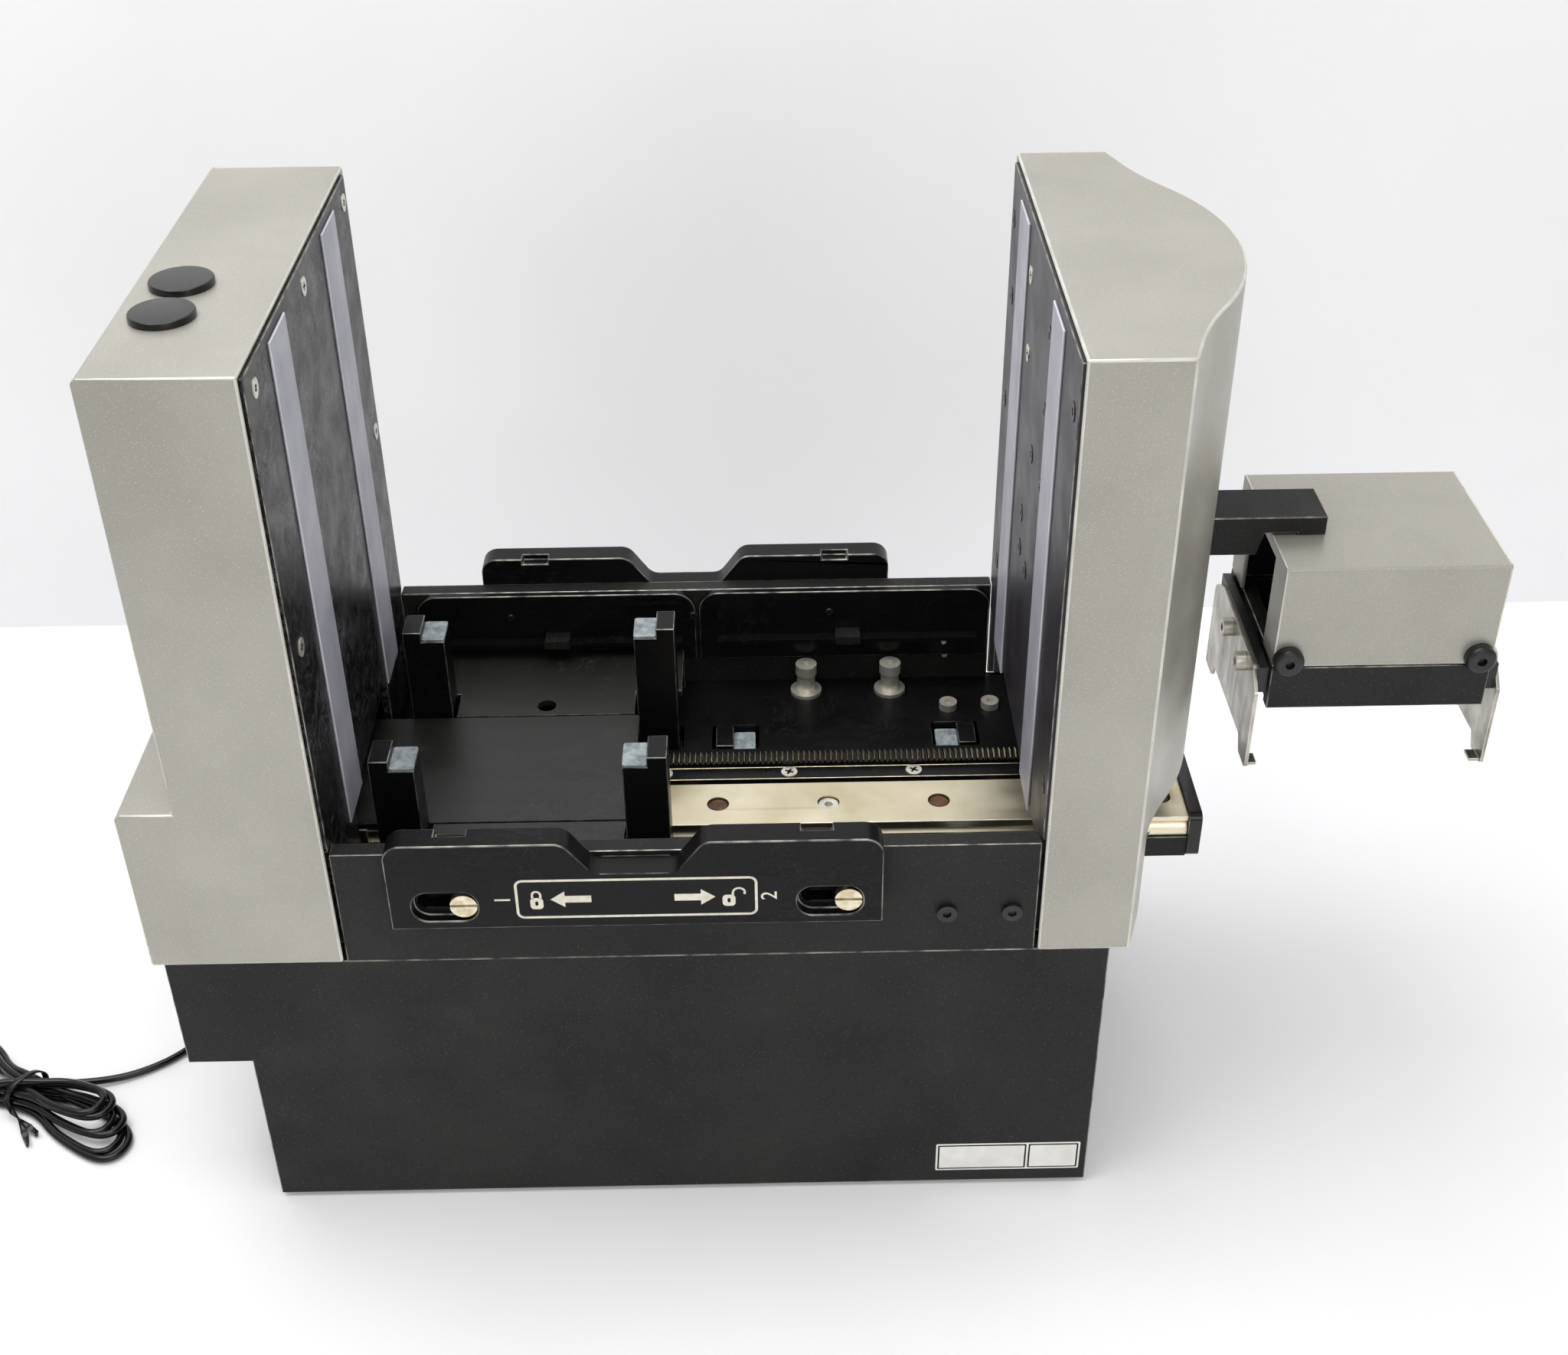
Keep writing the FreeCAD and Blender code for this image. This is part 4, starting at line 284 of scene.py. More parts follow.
def finish(name):
    """The material of a finish, built the first time that a piece asks for it."""
    ready = bpy.data.materials.get(name)
    if ready:
        return ready
    look = FINISHES[name]
    material = bpy.data.materials.new(name)
    material.use_nodes = True
    tree = material.node_tree
    tree.nodes.clear()
    place = add(tree, "ShaderNodeTexCoord").outputs["Object"]
    run = add(tree, "ShaderNodeMapping", {"Vector": place, "Scale": look.get("along", (1, 1, 1))})
    spread = rescaled(tree, noise(tree, place, look["patch"], Detail=4.0), PATCH_BAND)
    colour = mixed(tree, spread, *map(srgb, look["tones"]))
    grain_size, depth = look["grain"]
    grain = noise(tree, run, grain_size, Detail=2.0, Roughness=0.6)
    smudge = noise(tree, run, look["patch"] / 3, Detail=5.0, Distortion=0.4)
    if "flecks" in look:
        size, share, code = look["flecks"]
        cells = add(tree, "ShaderNodeTexVoronoi", {"Vector": place, "Scale": 1000 / size})
        near = maths(tree, "LESS_THAN", cells.outputs["Distance"], share)
        colour = mixed(tree, maths(tree, "MULTIPLY", near, FLECK_SHARE), colour, srgb(code))
    if "hairs" in look:
        spacing, width, code = look["hairs"]
        field = noise(tree, place, spacing, Detail=6.0, Roughness=0.75, Distortion=1.2)
        apart = maths(tree, "ABSOLUTE", maths(tree, "SUBTRACT", field, 0.5))
        line = rescaled(tree, apart, (0.0, width), (HAIR_SHARE, 0.0))
        colour = mixed(tree, maths(tree, "MULTIPLY", line, spread), colour, srgb(code))
    bump = add(tree, "ShaderNodeBump", {"Height": grain, "Strength": 1.0, "Distance": depth / 1000})
    shader = add(tree, "ShaderNodeBsdfPrincipled", {
        "Base Color": colour, "Roughness": rescaled(tree, smudge, SMUDGE_BAND, look["rough"]),
        "Normal": bump, **{SHADER_INPUTS[key]: look[key] for key in look if key in SHADER_INPUTS},
    })
    add(tree, "ShaderNodeOutputMaterial", {"Surface": shader})
    return material


def coat(mesh, *names):
    """Gives a mesh these finishes in place of its own."""
    mesh.materials.clear()
    for name in names:
        mesh.materials.append(finish(name))


def recoat(look, *nodes):
    """Gives CAD nodes, whose shapes stay, a finish."""
    for node in nodes:
        coat(frame["nodes"][node].data, look)


# Pieces
def piece(name, mesh, body, slot, *materials):
    """A finished piece: a mesh in its place, with its finishes, that rides on a body."""
    obj = linked(name, mesh)
    if materials:
        coat(mesh, *materials)
    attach(obj, body)
    return obj


def slot_of(node):
    """The record's material slot of a CAD node."""
    parts = frame["record"].get("subparts", [])
    return next((part["material_slot"] for part in parts if part["node"] == node), "black_plastic")


def plain(obj):
    """The mesh that an object's modifiers make, in place of the object's own."""
    bpy.context.view_layer.update()
    mesh = bpy.data.meshes.new_from_object(obj.evaluated_get(bpy.context.evaluated_depsgraph_get()))
    bpy.data.objects.remove(obj)
    return mesh


def made(name, work):
    """The mesh that a bmesh holds, with its faces turned outward."""
    bmesh.ops.recalc_face_normals(work, faces=work.faces)
    mesh = bpy.data.meshes.new(name)
    work.to_mesh(mesh)
    work.free()
    return mesh


def bridge(work, low, high, number=0, smooth=True):
    """Joins two rings of points with a band of faces."""
    for i in range(len(low)):
        side = work.faces.new((low[i - 1], low[i], high[i], high[i - 1]))
        side.material_index, side.smooth = number, smooth


# Angles in degrees: what merges into one face, what is a fold, what stays sharp on CAD and turned pieces.
FLAT, FOLD, SHARP, SHARP_TURNED = 0.5, 48, 32, 35


def dressed(node, face, width=None, shortest=0.7, edge=None, paint=None, bend=None):
    """A CAD node with merged faces, smooth shading and, where a width is given, bevelled folds.
    The width and the shortest edge that is bevelled are millimetres. The folds take a paler finish, a
    painted highlight where they catch the light: edge, or else the one that the face's finish names for
    its edges. paint picks a finish for each face, bend moves each point."""
    faces = face if isinstance(face, tuple) else (face,)
    if width and not edge:
        edge = FINISHES[faces[0]].get("worn", faces[0])
    mesh = bpy.data.meshes.new(node + "_dressed")
    work = bmesh.new()
    work.from_mesh(frame["nodes"][node].data)
    bmesh.ops.remove_doubles(work, verts=work.verts, dist=1e-6)
    bmesh.ops.dissolve_limit(work, angle_limit=radians(FLAT), verts=work.verts, edges=work.edges)
    for point in work.verts:
        point.co = bend(point.co) if bend else point.co
    weight = work.edges.layers.float.new("bevel_weight_edge")
    for line in work.edges:
        if edge and len(line.link_faces) == 2 and line.calc_length() * 1000 > shortest:
            line[weight] = float(line.calc_face_angle(0) > radians(FOLD))
    for side in work.faces:
        side.smooth = True
        side.material_index = 0
    work.to_mesh(mesh)
    work.free()
    mesh.set_sharp_from_angle(angle=radians(SHARP))
    coat(mesh, *faces, *([edge] if edge else []))
    if paint:
        for side in mesh.polygons:
            side.material_index = paint(side)
    # The bevelled folds take the edge finish, on most pieces a paler painted highlight.
    if edge:
        draft = linked(node + "_draft", mesh)
        fold = draft.modifiers.new("fold", "BEVEL")
        fold.limit_method = "WEIGHT"
        fold.width = width / 1000
        fold.segments = 2
        fold.use_clamp_overlap = False
        fold.material = len(faces)
        fold.harden_normals = False
        draft.modifiers.new("even", "WEIGHTED_NORMAL").keep_sharp = True
        mesh = plain(draft)
    obj = piece(node + "_skin", mesh, frame["nodes"][node]["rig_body"], slot_of(node))
    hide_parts(node)
    return obj


def turned(name, profile, start, way, body, slot, finishes, sides=40):
    """A round piece. The profile lists its distance along, its radius and its finish's number."""
    way = Vector(way).normalized()
    turn = way.to_track_quat("Z", "Y").to_matrix().to_4x4()
    place = Matrix.Translation(Vector(start)) @ turn
    work = bmesh.new()
    rings = []
    for along, radius, _ in profile:
        ring = []
        for i in range(sides):
            angle = 2 * pi * i / sides
            point = Vector((radius * cos(angle), radius * sin(angle), along)) / 1000
            ring.append(work.verts.new(place @ point))
        rings.append(ring)
    for low, high, (_, _, number) in zip(rings, rings[1:], profile[1:]):
        bridge(work, low, high, number)
    work.faces.new(list(reversed(rings[0]))).material_index = profile[0][2]
    work.faces.new(rings[-1]).material_index = profile[-1][2]
    mesh = made(name, work)
    mesh.set_sharp_from_angle(angle=radians(SHARP_TURNED))
    return piece(name, mesh, body, slot, *finishes)


def flat_shapes(name, outlines, y, thick, body, slot, material):
    """Thin upright shapes that face the front. Each outline lists X and Z in layout millimetres."""
    work = bmesh.new()
    for outline in outlines:
        front = [work.verts.new(at(x, y, z)) for x, z in outline]
        back = [work.verts.new(at(x, y + thick, z)) for x, z in outline]
        work.faces.new(front)
        work.faces.new(list(reversed(back)))
        bridge(work, front, back, smooth=False)
    return piece(name, made(name, work), body, slot, material)


def rounded(x, z, radius, steps=6):
    """The outline of an upright rectangle with round corners."""
    points = []
    corners = ((x[1], z[1], 0), (x[0], z[1], 90), (x[0], z[0], 180), (x[1], z[0], 270))
    for px, pz, start in corners:
        cx = px - radius if start in (0, 270) else px + radius
        cz = pz - radius if start in (0, 90) else pz + radius
        for i in range(steps + 1):
            angle = radians(start + 90 * i / steps)
            points.append((cx + radius * cos(angle), cz + radius * sin(angle)))
    return points


def stroke(points, width, closed=False):
    """Outlines of the short bars of a drawn line."""
    ends = list(points) + ([points[0]] if closed else [])
    bars = []
    for (x0, z0), (x1, z1) in zip(ends, ends[1:]):
        length = hypot(x1 - x0, z1 - z0)
        nx, nz = -(z1 - z0) / length * width / 2, (x1 - x0) / length * width / 2
        bars.append([(x0 + nx, z0 + nz), (x0 - nx, z0 - nz), (x1 - nx, z1 - nz), (x1 + nx, z1 + nz)])
    return bars


def bow(middle, radius, start, end, steps=8):
    """Points on a round bow between two angles in degrees."""
    angles = [radians(start + (end - start) * i / steps) for i in range(steps + 1)]
    return [(middle[0] + radius * cos(a), middle[1] + radius * sin(a)) for a in angles]


def discs(name, places, radius, thick, body, slot, material, top=0.9):
    """Upright round buttons on their places. Sizes are millimetres, top is the upper radius' share."""
    work = bmesh.new()
    for place in places:
        lift = Matrix.Translation(Vector(place) + Vector((0, 0, thick / 2000)))
        bmesh.ops.create_cone(
            work, cap_ends=True, segments=28, radius1=radius / 1000, radius2=radius * top / 1000,
            depth=thick / 1000, matrix=lift,
        )
    return piece(name, made(name, work), body, slot, material)


def islands(node):
    """The lowest and highest corner of each loose part of a CAD node."""
    work = bmesh.new()
    work.from_mesh(frame["nodes"][node].data)
    bmesh.ops.remove_doubles(work, verts=work.verts, dist=1e-6)
    seen, found = set(), []
    for start in work.verts:
        if start in seen:
            continue
        queue, part = [start], []
        seen.add(start)
        while queue:
            point = queue.pop()
            part.append(point.co)
            for line in point.link_edges:
                other = line.other_vert(point)
                if other not in seen:
                    seen.add(other)
                    queue.append(other)
        found.append([Vector([pick(p[i] for p in part) for i in range(3)]) for pick in (min, max)])
    work.free()
    return found


# Geometry node trees
def tree_with(name, lengths, counts):
    """A geometry tree with a mesh input, named lengths, whole numbers and a finish."""
    tree = bpy.data.node_groups.new(name, "GeometryNodeTree")
    tree.interface.new_socket(name="Geometry", in_out="INPUT", socket_type="NodeSocketGeometry")
    kinds = {label: "NodeSocketFloat" for label in lengths}
    kinds.update({label: "NodeSocketInt" for label in counts}, Finish="NodeSocketMaterial")
    keys = {}
    for label, kind in kinds.items():
        keys[label] = tree.interface.new_socket(name=label, in_out="INPUT", socket_type=kind).identifier
    tree.interface.new_socket(name="Geometry", in_out="OUTPUT", socket_type="NodeSocketGeometry")
    return tree, keys, add(tree, "NodeGroupInput").outputs


def close_tree(tree, geometry):
    """Ends a tree: instances become real and take the finish that the tree's input names."""
    given = next(node for node in tree.nodes if node.bl_idname == "NodeGroupInput").outputs
    real = add(tree, "GeometryNodeRealizeInstances", {"Geometry": geometry})
    coated = add(tree, "GeometryNodeSetMaterial", {"Geometry": real, "Material": given["Finish"]})
    add(tree, "NodeGroupOutput", {"Geometry": coated})


def cross_recess_tree():
    """A cross of two bars at every point, square to the point's way, each spun by its own angle:
    painted shade of a screw's cross recess.
    """
    tree, keys, given = tree_with("cross_recess", ("Length", "Width", "Depth"), ("Seed",))
    cross = add(tree, "GeometryNodeJoinGeometry")
    for first, second in (("Length", "Width"), ("Width", "Length")):
        size = add(tree, "ShaderNodeCombineXYZ", {0: given[first], 1: given[second], 2: given["Depth"]})
        bar = add(tree, "GeometryNodeMeshCube", {"Size": size})
        tree.links.new(bar.outputs[0], cross.inputs[0])
    way = add(tree, "GeometryNodeInputNamedAttribute", {"Name": "way"}, data_type="FLOAT_VECTOR")
    stand = add(tree, "FunctionNodeAlignRotationToVector", {"Vector": way}, axis="Z")
    spots = add(tree, "GeometryNodeInstanceOnPoints", {
        "Points": given["Geometry"], "Instance": cross, "Rotation": stand,
    })
    spin = add(
        tree, "FunctionNodeRandomValue",
        {0: (0.0, 0.0, 0.0), 1: (0.0, 0.0, pi / 2), "Seed": given["Seed"]}, data_type="FLOAT_VECTOR",
    )
    spun = add(tree, "GeometryNodeRotateInstances", {"Instances": spots, "Rotation": spin})
    close_tree(tree, spun)
    return tree, keys


def sleeve_ribs_tree():
    """Rings along Z that grow smaller, for the ribs of a strain relief or a moulded grip."""
    tree, keys, given = tree_with(
        "sleeve_ribs", ("Pitch", "First Radius", "Last Radius", "Thickness"), ("Count",)
    )
    step = add(tree, "ShaderNodeCombineXYZ", {2: given["Pitch"]})
    row = add(tree, "GeometryNodeMeshLine", {"Count": given["Count"], "Offset": step})
    index = add(tree, "GeometryNodeInputIndex")
    radius = rescaled(tree, index, (0.0, given["Count"]), (given["First Radius"], given["Last Radius"]))
    ring = add(tree, "GeometryNodeCurvePrimitiveCircle", {"Resolution": 28, "Radius": 1.0})
    rings = add(tree, "GeometryNodeInstanceOnPoints", {"Points": row, "Instance": ring, "Scale": radius})
    real = add(tree, "GeometryNodeRealizeInstances", {"Geometry": rings})
    edge = add(tree, "GeometryNodeCurvePrimitiveCircle", {"Resolution": 8, "Radius": given["Thickness"]})
    tube = add(tree, "GeometryNodeCurveToMesh", {"Curve": real, "Profile Curve": edge})
    close_tree(tree, tube)
    return tree, keys


def pin_field_tree():
    """Upright contact pins in rows, for the sockets at the back."""
    tree, keys, given = tree_with("pin_field", ("Pitch", "Radius", "Depth"), ("Columns", "Rows"))
    wide, tall = [
        maths(tree, "MULTIPLY", maths(tree, "SUBTRACT", given[count], 1.0), given["Pitch"])
        for count in ("Columns", "Rows")
    ]
    field = add(tree, "GeometryNodeMeshGrid", {
        "Size X": wide, "Size Y": tall, "Vertices X": given["Columns"], "Vertices Y": given["Rows"],
    })
    pin = add(tree, "GeometryNodeMeshCylinder", {
        "Vertices": 10, "Radius": given["Radius"], "Depth": given["Depth"],
    })
    pins = add(tree, "GeometryNodeInstanceOnPoints", {"Points": field, "Instance": pin})
    close_tree(tree, pins)
    return tree, keys


def grown(name, tree_and_keys, values, body, slot, points=(), ways=(), place=None):
    """The mesh that a geometry tree makes from a few points, as a piece. Sizes are metres."""
    tree, keys = tree_and_keys
    seedling = bpy.data.meshes.new(name + "_points")
    seedling.from_pydata([tuple(p) for p in points] or [(0, 0, 0)], [], [])
    if ways:
        layer = seedling.attributes.new("way", "FLOAT_VECTOR", "POINT")
        for item, way in zip(layer.data, ways):
            item.vector = way
    draft = linked(name + "_draft", seedling)
    modifier = draft.modifiers.new(name, "NODES")
    modifier.node_group = tree
    for label, value in values.items():
        modifier[keys[label]] = value
    mesh = plain(draft)
    mesh.transform(place or Matrix.Identity(4))
    return piece(name, mesh, body, slot)


# Sizes and colours that a user would change
def setting(name, description, default, low=0.0, **more):
    """A number that the panel shows."""
    return bpy.props.FloatProperty(name=name, description=description, default=default, min=low, **more)


class StackerSizes(bpy.types.PropertyGroup):
    """Sizes of the fine detail"""

    # The folds and corners are bevels in a paler finish: painted highlight where they catch the light.
    fold: setting("Fold", "Width of the silver covers' rubbed folds, in millimetres", 0.8, 0.1)
    corner: setting("Corner", "Width of black plates' rubbed corners, in millimetres", 0.45, 0.1)
    line: setting("Printed Line", "Width of the printed outline, in millimetres", 0.9, 0.2)
    lead_length: setting("Lead Length", "Length from the strain relief to the plug", 1.8, 0.5, unit="LENGTH")
    lead_thickness: setting("Lead Thickness", "Diameter of the lead's jacket", 0.003, 0.001, unit="LENGTH")
    recess: setting(
        "Cross Recess", "Length of a recess as a share of its screw's head", 0.55, 0.2, max=0.9,
        subtype="FACTOR",
    )


class StackerStage(bpy.types.PropertyGroup):
    """The studio: its lights and its floor"""

    key: setting("Key Light", "Power of the soft light above the bench", 15.0, unit="POWER")
    fill: setting("Front Light", "Power of the weak light from the front", 3.2, unit="POWER")
    room: setting("Room Light", "Strength of the white room", 0.5)
    room_colour: bpy.props.FloatVectorProperty(
        name="Room Colour", description="Colour of the room's light", default=srgb("#fffefb")[:3], size=3,
        min=0.0, max=1.0, subtype="COLOR",
    )
    wall: setting("Wall Distance", "Distance from the middle to the wall", 0.315, 0.2, unit="LENGTH")


# Stage
CAMERA_PLACE = (-0.021167, -0.576747, 0.564770)
CAMERA_TURN = (55.7914, 0.5527, -0.9081)
LENS = 44.64
HALF_ROOM = 3.0
# Each light's place, target and width in metres.
KEY_LIGHT = ((-0.3, 0.0, 1.35), (0.0, 0.05, 0.0), 1.1)
FRONT_LIGHT = ((0.35, -1.2, 0.8), (0.0, 0.0, 0.15), 0.8)


def aimed_light(name, place, target, size, power):
    """A soft square light that looks at a target."""
    lamp = bpy.data.lights.new(name, "AREA")
    lamp.size = size
    lamp.energy = power
    obj = linked(name, lamp)
    obj.location = place
    obj.rotation_euler = (Vector(target) - Vector(place)).to_track_quat("-Z", "Y").to_euler()


class STACKER_OT_stage(bpy.types.Operator):
    """Makes the camera, the white bench and wall, and the soft lights"""

    bl_idname = "stacker.stage"
    bl_label = "Stage"

    def execute(self, context):
        scene = context.scene
        stage = scene.stacker_stage
        lens = bpy.data.cameras.new("camera")
        lens.lens = LENS
        lens.sensor_width = 36.0
        camera = linked("camera", lens)
        camera.location = CAMERA_PLACE
        camera.rotation_euler = [radians(angle) for angle in CAMERA_TURN]
        scene.camera = camera
        scene.view_settings.view_transform = "Standard"
        world = bpy.data.worlds.new("room")
        world.use_nodes = True
        tree = world.node_tree
        tree.nodes.clear()
        colour = (*stage.room_colour, 1.0)
        light = add(tree, "ShaderNodeBackground", {"Color": colour, "Strength": stage.room})
        add(tree, "ShaderNodeOutputWorld", {"Surface": light})
        scene.world = world
        half, far = HALF_ROOM, stage.wall
        corners = {
            "bench": [(-half, -half, 0), (half, -half, 0), (half, far, 0), (-half, far, 0)],
            "wall": [(-half, far, 0), (half, far, 0), (half, far, half), (-half, far, half)],
        }
        for name, points in corners.items():
            mesh = bpy.data.meshes.new(name)
            mesh.from_pydata(points, [], [(0, 1, 2, 3)])
            coat(mesh, "white_laminate")
            linked(name, mesh)
        aimed_light("key", *KEY_LIGHT, stage.key)
        aimed_light("front", *FRONT_LIGHT, stage.fill)
        return {"FINISHED"}


# Lead, in layout millimetres with heights from the bench. The route is that of the part's source.
LEAD_ROUTE = [
    (-12, 188, 24), (-12, 203, 24), (-17, 219, 13.5), (-31, 230, 4.6), (-52, 228, 1.7), (-69, 213, 1.7),
    (-76, 189, 1.7), (-72.6, 160, 1.7), (-71.5, 130, 1.7), (-76.5, 98, 1.7), (-91.5, 75, 1.7),
    (-107.5, 63.5, 1.7), (-124, 58, 3.0),
]
LEAD_TAIL = [(-176, 38.5, 3.0), (-188.5, 30, 2.6), (-204, 23.5, 4.6)]
# The plug's ribbed grip and its barrel: distance along, radius, number of the finish.
PLUG_PROFILE = (
    (-1.5, 1.7, 0), (0, 2.4, 0), (1.5, 2.5, 0), (1.6, 2.1, 0), (2.8, 2.1, 0), (2.9, 2.8, 0), (4.1, 2.9, 0),
    (4.2, 2.4, 0), (5.4, 2.4, 0), (5.5, 3.4, 0), (7.5, 4.1, 0), (9, 4.4, 0), (21, 4.4, 0), (22.5, 4.2, 0),
    (23.2, 3.6, 0), (23.3, 2.75, 1), (32.4, 2.75, 1), (32.7, 2.5, 1), (32.7, 1.2, 1), (28, 1.1, 1),
)
HANK_PLACE = (-150.0, 53.0)
HANK_TURN = 158.0
# The turns' places at the tie (across, height), for the passes away from and back to the lead's side.
PASSES_OUT = [(-6.2, 1.9), (-2.1, 1.9), (-5.8, 5.1), (-2.0, 5.1), (-5.0, 8.3), (-1.7, 8.2), (-0.01, 10.9)]
PASSES_BACK = [(6.2, 1.9), (2.1, 1.9), (5.8, 5.1), (2.0, 5.1), (5.0, 8.3), (1.7, 8.2)]
# The loops at both ends: reach, half width, swing to one side, height.
LOOPS_FAR = [
    (54, 18.6, 0.6, 1.9), (50, 14.4, -3.6, 2.0), (45, 12.0, 6.2, 2.2), (53, 16.6, 3.0, 5.2),
    (48, 13.0, -6.2, 5.3), (51, 14.2, 2.4, 8.6),
]
LOOPS_NEAR = [
    (52, 9.6, 9.4, 1.9), (48, 8.4, 8.4, 2.1), (46, 7.6, 2.8, 4.8), (42, 7.2, 3.6, 5.0), (39, 7.0, -1.2, 8.0),
    (36, 6.7, -0.6, 9.6),
]
# The share of a loop's reach at which it has left its place at the tie.
PARTED = 0.42


def in_hank(along, across, height):
    """A place in the hank's own frame, in millimetres, as a place in the scene."""
    angle = radians(HANK_TURN)
    x = HANK_PLACE[0] + along * cos(angle) - across * sin(angle)
    y = HANK_PLACE[1] + along * sin(angle) + across * cos(angle)
    return on_bench(x, y, height)


def hank_loop(start, end, loop, way):
    """The points of one loop, from a pass at the tie round its end to the next pass."""
    reach, half, swing, height = loop
    shares = ((0.23, 0.5), (0.46, 0.88), (0.72, 1.0), (0.93, 0.93), (1.04, 0.42))
    points = []
    for (across, level), order in ((start, shares), (end, shares[::-1])):
        for far, wide in order:
            open_v = copysign(half, across) * wide + swing * min(1.0, far)
            mix = min(1.0, far / PARTED)
            v = across + (open_v - across) * mix
            points.append(in_hank(way * reach * far, v, level + (height - level) * mix))
    return points


def hank_points():
    """The turns of the hank as control points: through the tie, round a loop, back, and round."""
    points = []
    for turn in range(6):
        out, back, again = PASSES_OUT[turn], PASSES_BACK[turn], PASSES_OUT[turn + 1]
        points.append(in_hank(0, *out))
        points += hank_loop(out, back, LOOPS_FAR[turn], 1)
        points.append(in_hank(0, *back))
        points += hank_loop(back, again, LOOPS_NEAR[turn], -1)
    return points + [in_hank(-3, 0.6, 11.2), in_hank(9, 6.0, 11.0), in_hank(14.5, 15.0, 8.4)]


def smooth_line(name, points, radius):
    """A round cord on a smooth spline whose control points these are."""
    curve = bpy.data.curves.new(name, "CURVE")
    curve.dimensions = "3D"
    curve.bevel_depth = radius
    curve.bevel_resolution = 3
    curve.resolution_u = 6
    curve.use_fill_caps = True
    line = curve.splines.new("NURBS")
    line.points.add(len(points) - 1)
    for slot, point in zip(line.points, points):
        slot.co = (*point, 1.0)
    line.order_u = 3
    line.use_endpoint_u = True
    return linked(name, curve)


def tie_band():
    """The paper-covered wire tie round the hank's waist, and its two forked ends."""
    work = bmesh.new()
    steps = 36
    rings = []
    for along, grow in ((-1.3, 0.0), (-1.3, 0.6), (1.3, 0.6), (1.3, 0.0)):
        ring = []
        for i in range(steps):
            angle = 2 * pi * i / steps
            across = copysign(abs(cos(angle)) ** 0.85, cos(angle)) * (7.7 + grow)
            height = 6.4 + copysign(abs(sin(angle)) ** 0.85, sin(angle)) * (5.9 + grow * 0.6)
            skew = 0.34 * across - 2.2
            ring.append(work.verts.new(in_hank(along + skew, across, max(0.1, height))))
        rings.append(ring)
    for low, high in zip(rings, rings[1:] + rings[:1]):
        bridge(work, low, high)
    twist = [in_hank(0.4, 8.6, 7.6), in_hank(-4.2, 11.2, 5.2), in_hank(-9.0, 12.6, 3.6)]
    for ends in ([(-13.5, 16.6, 2.3), (-18.2, 20.6, 1.9)], [(-13.8, 13.8, 2.7), (-18.2, 15.0, 1.9)]):
        way = twist + [in_hank(*end) for end in ends]
        rows = []
        for i, point in enumerate(way):
            ahead = (way[min(i + 1, len(way) - 1)] - way[max(i - 1, 0)]).normalized()
            turn = ahead.cross(Vector((0, 0, 1))).normalized()
            up = ahead.cross(turn)
            lean = i * 1.1
            wide = turn * cos(lean) + up * sin(lean)
            thin = ahead.cross(wide)
            corners = ((1.3, 0.4), (-1.3, 0.4), (-1.3, -0.4), (1.3, -0.4))
            rows.append([work.verts.new(point + (wide * a + thin * b) / 1000) for a, b in corners])
        for low, high in zip(rows, rows[1:]):
            bridge(work, low, high, smooth=False)
        work.faces.new(rows[0][::-1])
        work.faces.new(rows[-1])
    tie = piece("lead_tie", made("lead_tie", work), "root", "cord_vinyl", "glossy_black_vinyl")
    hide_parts("cord_tie")
    return tie


class STACKER_OT_lead(bpy.types.Operator):
    """Lays the lead on the bench and winds the rest in a tied hank, with its strain relief and plug"""

    bl_idname = "stacker.lead"
    bl_label = "Lead"

    def execute(self, context):
        sizes = context.scene.stacker_sizes
        route = [on_bench(*p) for p in LEAD_ROUTE] + hank_points() + [on_bench(*p) for p in LEAD_TAIL]
        lead = smooth_line("lead", route, sizes.lead_thickness / 2)
        coat(lead.data, "glossy_black_vinyl")
        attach(lead, "root")
        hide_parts("power_cord", "cord_hank")
        tie = tie_band()
        end, before = route[-1], route[-2]
        way = Vector((end.x - before.x, end.y - before.y, 0))
        plug = turned(
            "lead_plug", PLUG_PROFILE, end, way, "root", "black_plastic",
            ("moulded_black_nylon", "turned_stainless"), 32,
        )
        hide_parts("cord_plug")
        gland = dressed("cord_gland", "moulded_black_nylon")
        turn = Matrix.Translation(at(-12, 173.0, 22)) @ Matrix.Rotation(radians(-90), 4, "X")
        ribs = grown(
            "gland_ribs", sleeve_ribs_tree(),
            {
                "Count": 7, "Pitch": 0.0022, "First Radius": 0.0033, "Last Radius": 0.0024,
                "Thickness": 0.00045, "Finish": finish("moulded_black_nylon"),
            },
            "root", "black_plastic", place=turn,
        )
        return {"FINISHED"}


# The case's front and, on it, the blank label and its two fields in X and Z, in layout millimetres.
CASE_FRONT = 0.85
LABEL = ((204.0, 257.0), (5.8, 19.6))
LABEL_FIELDS = (((204.7, 237.2), (6.5, 18.9)), ((238.0, 256.3), (6.5, 18.9)))


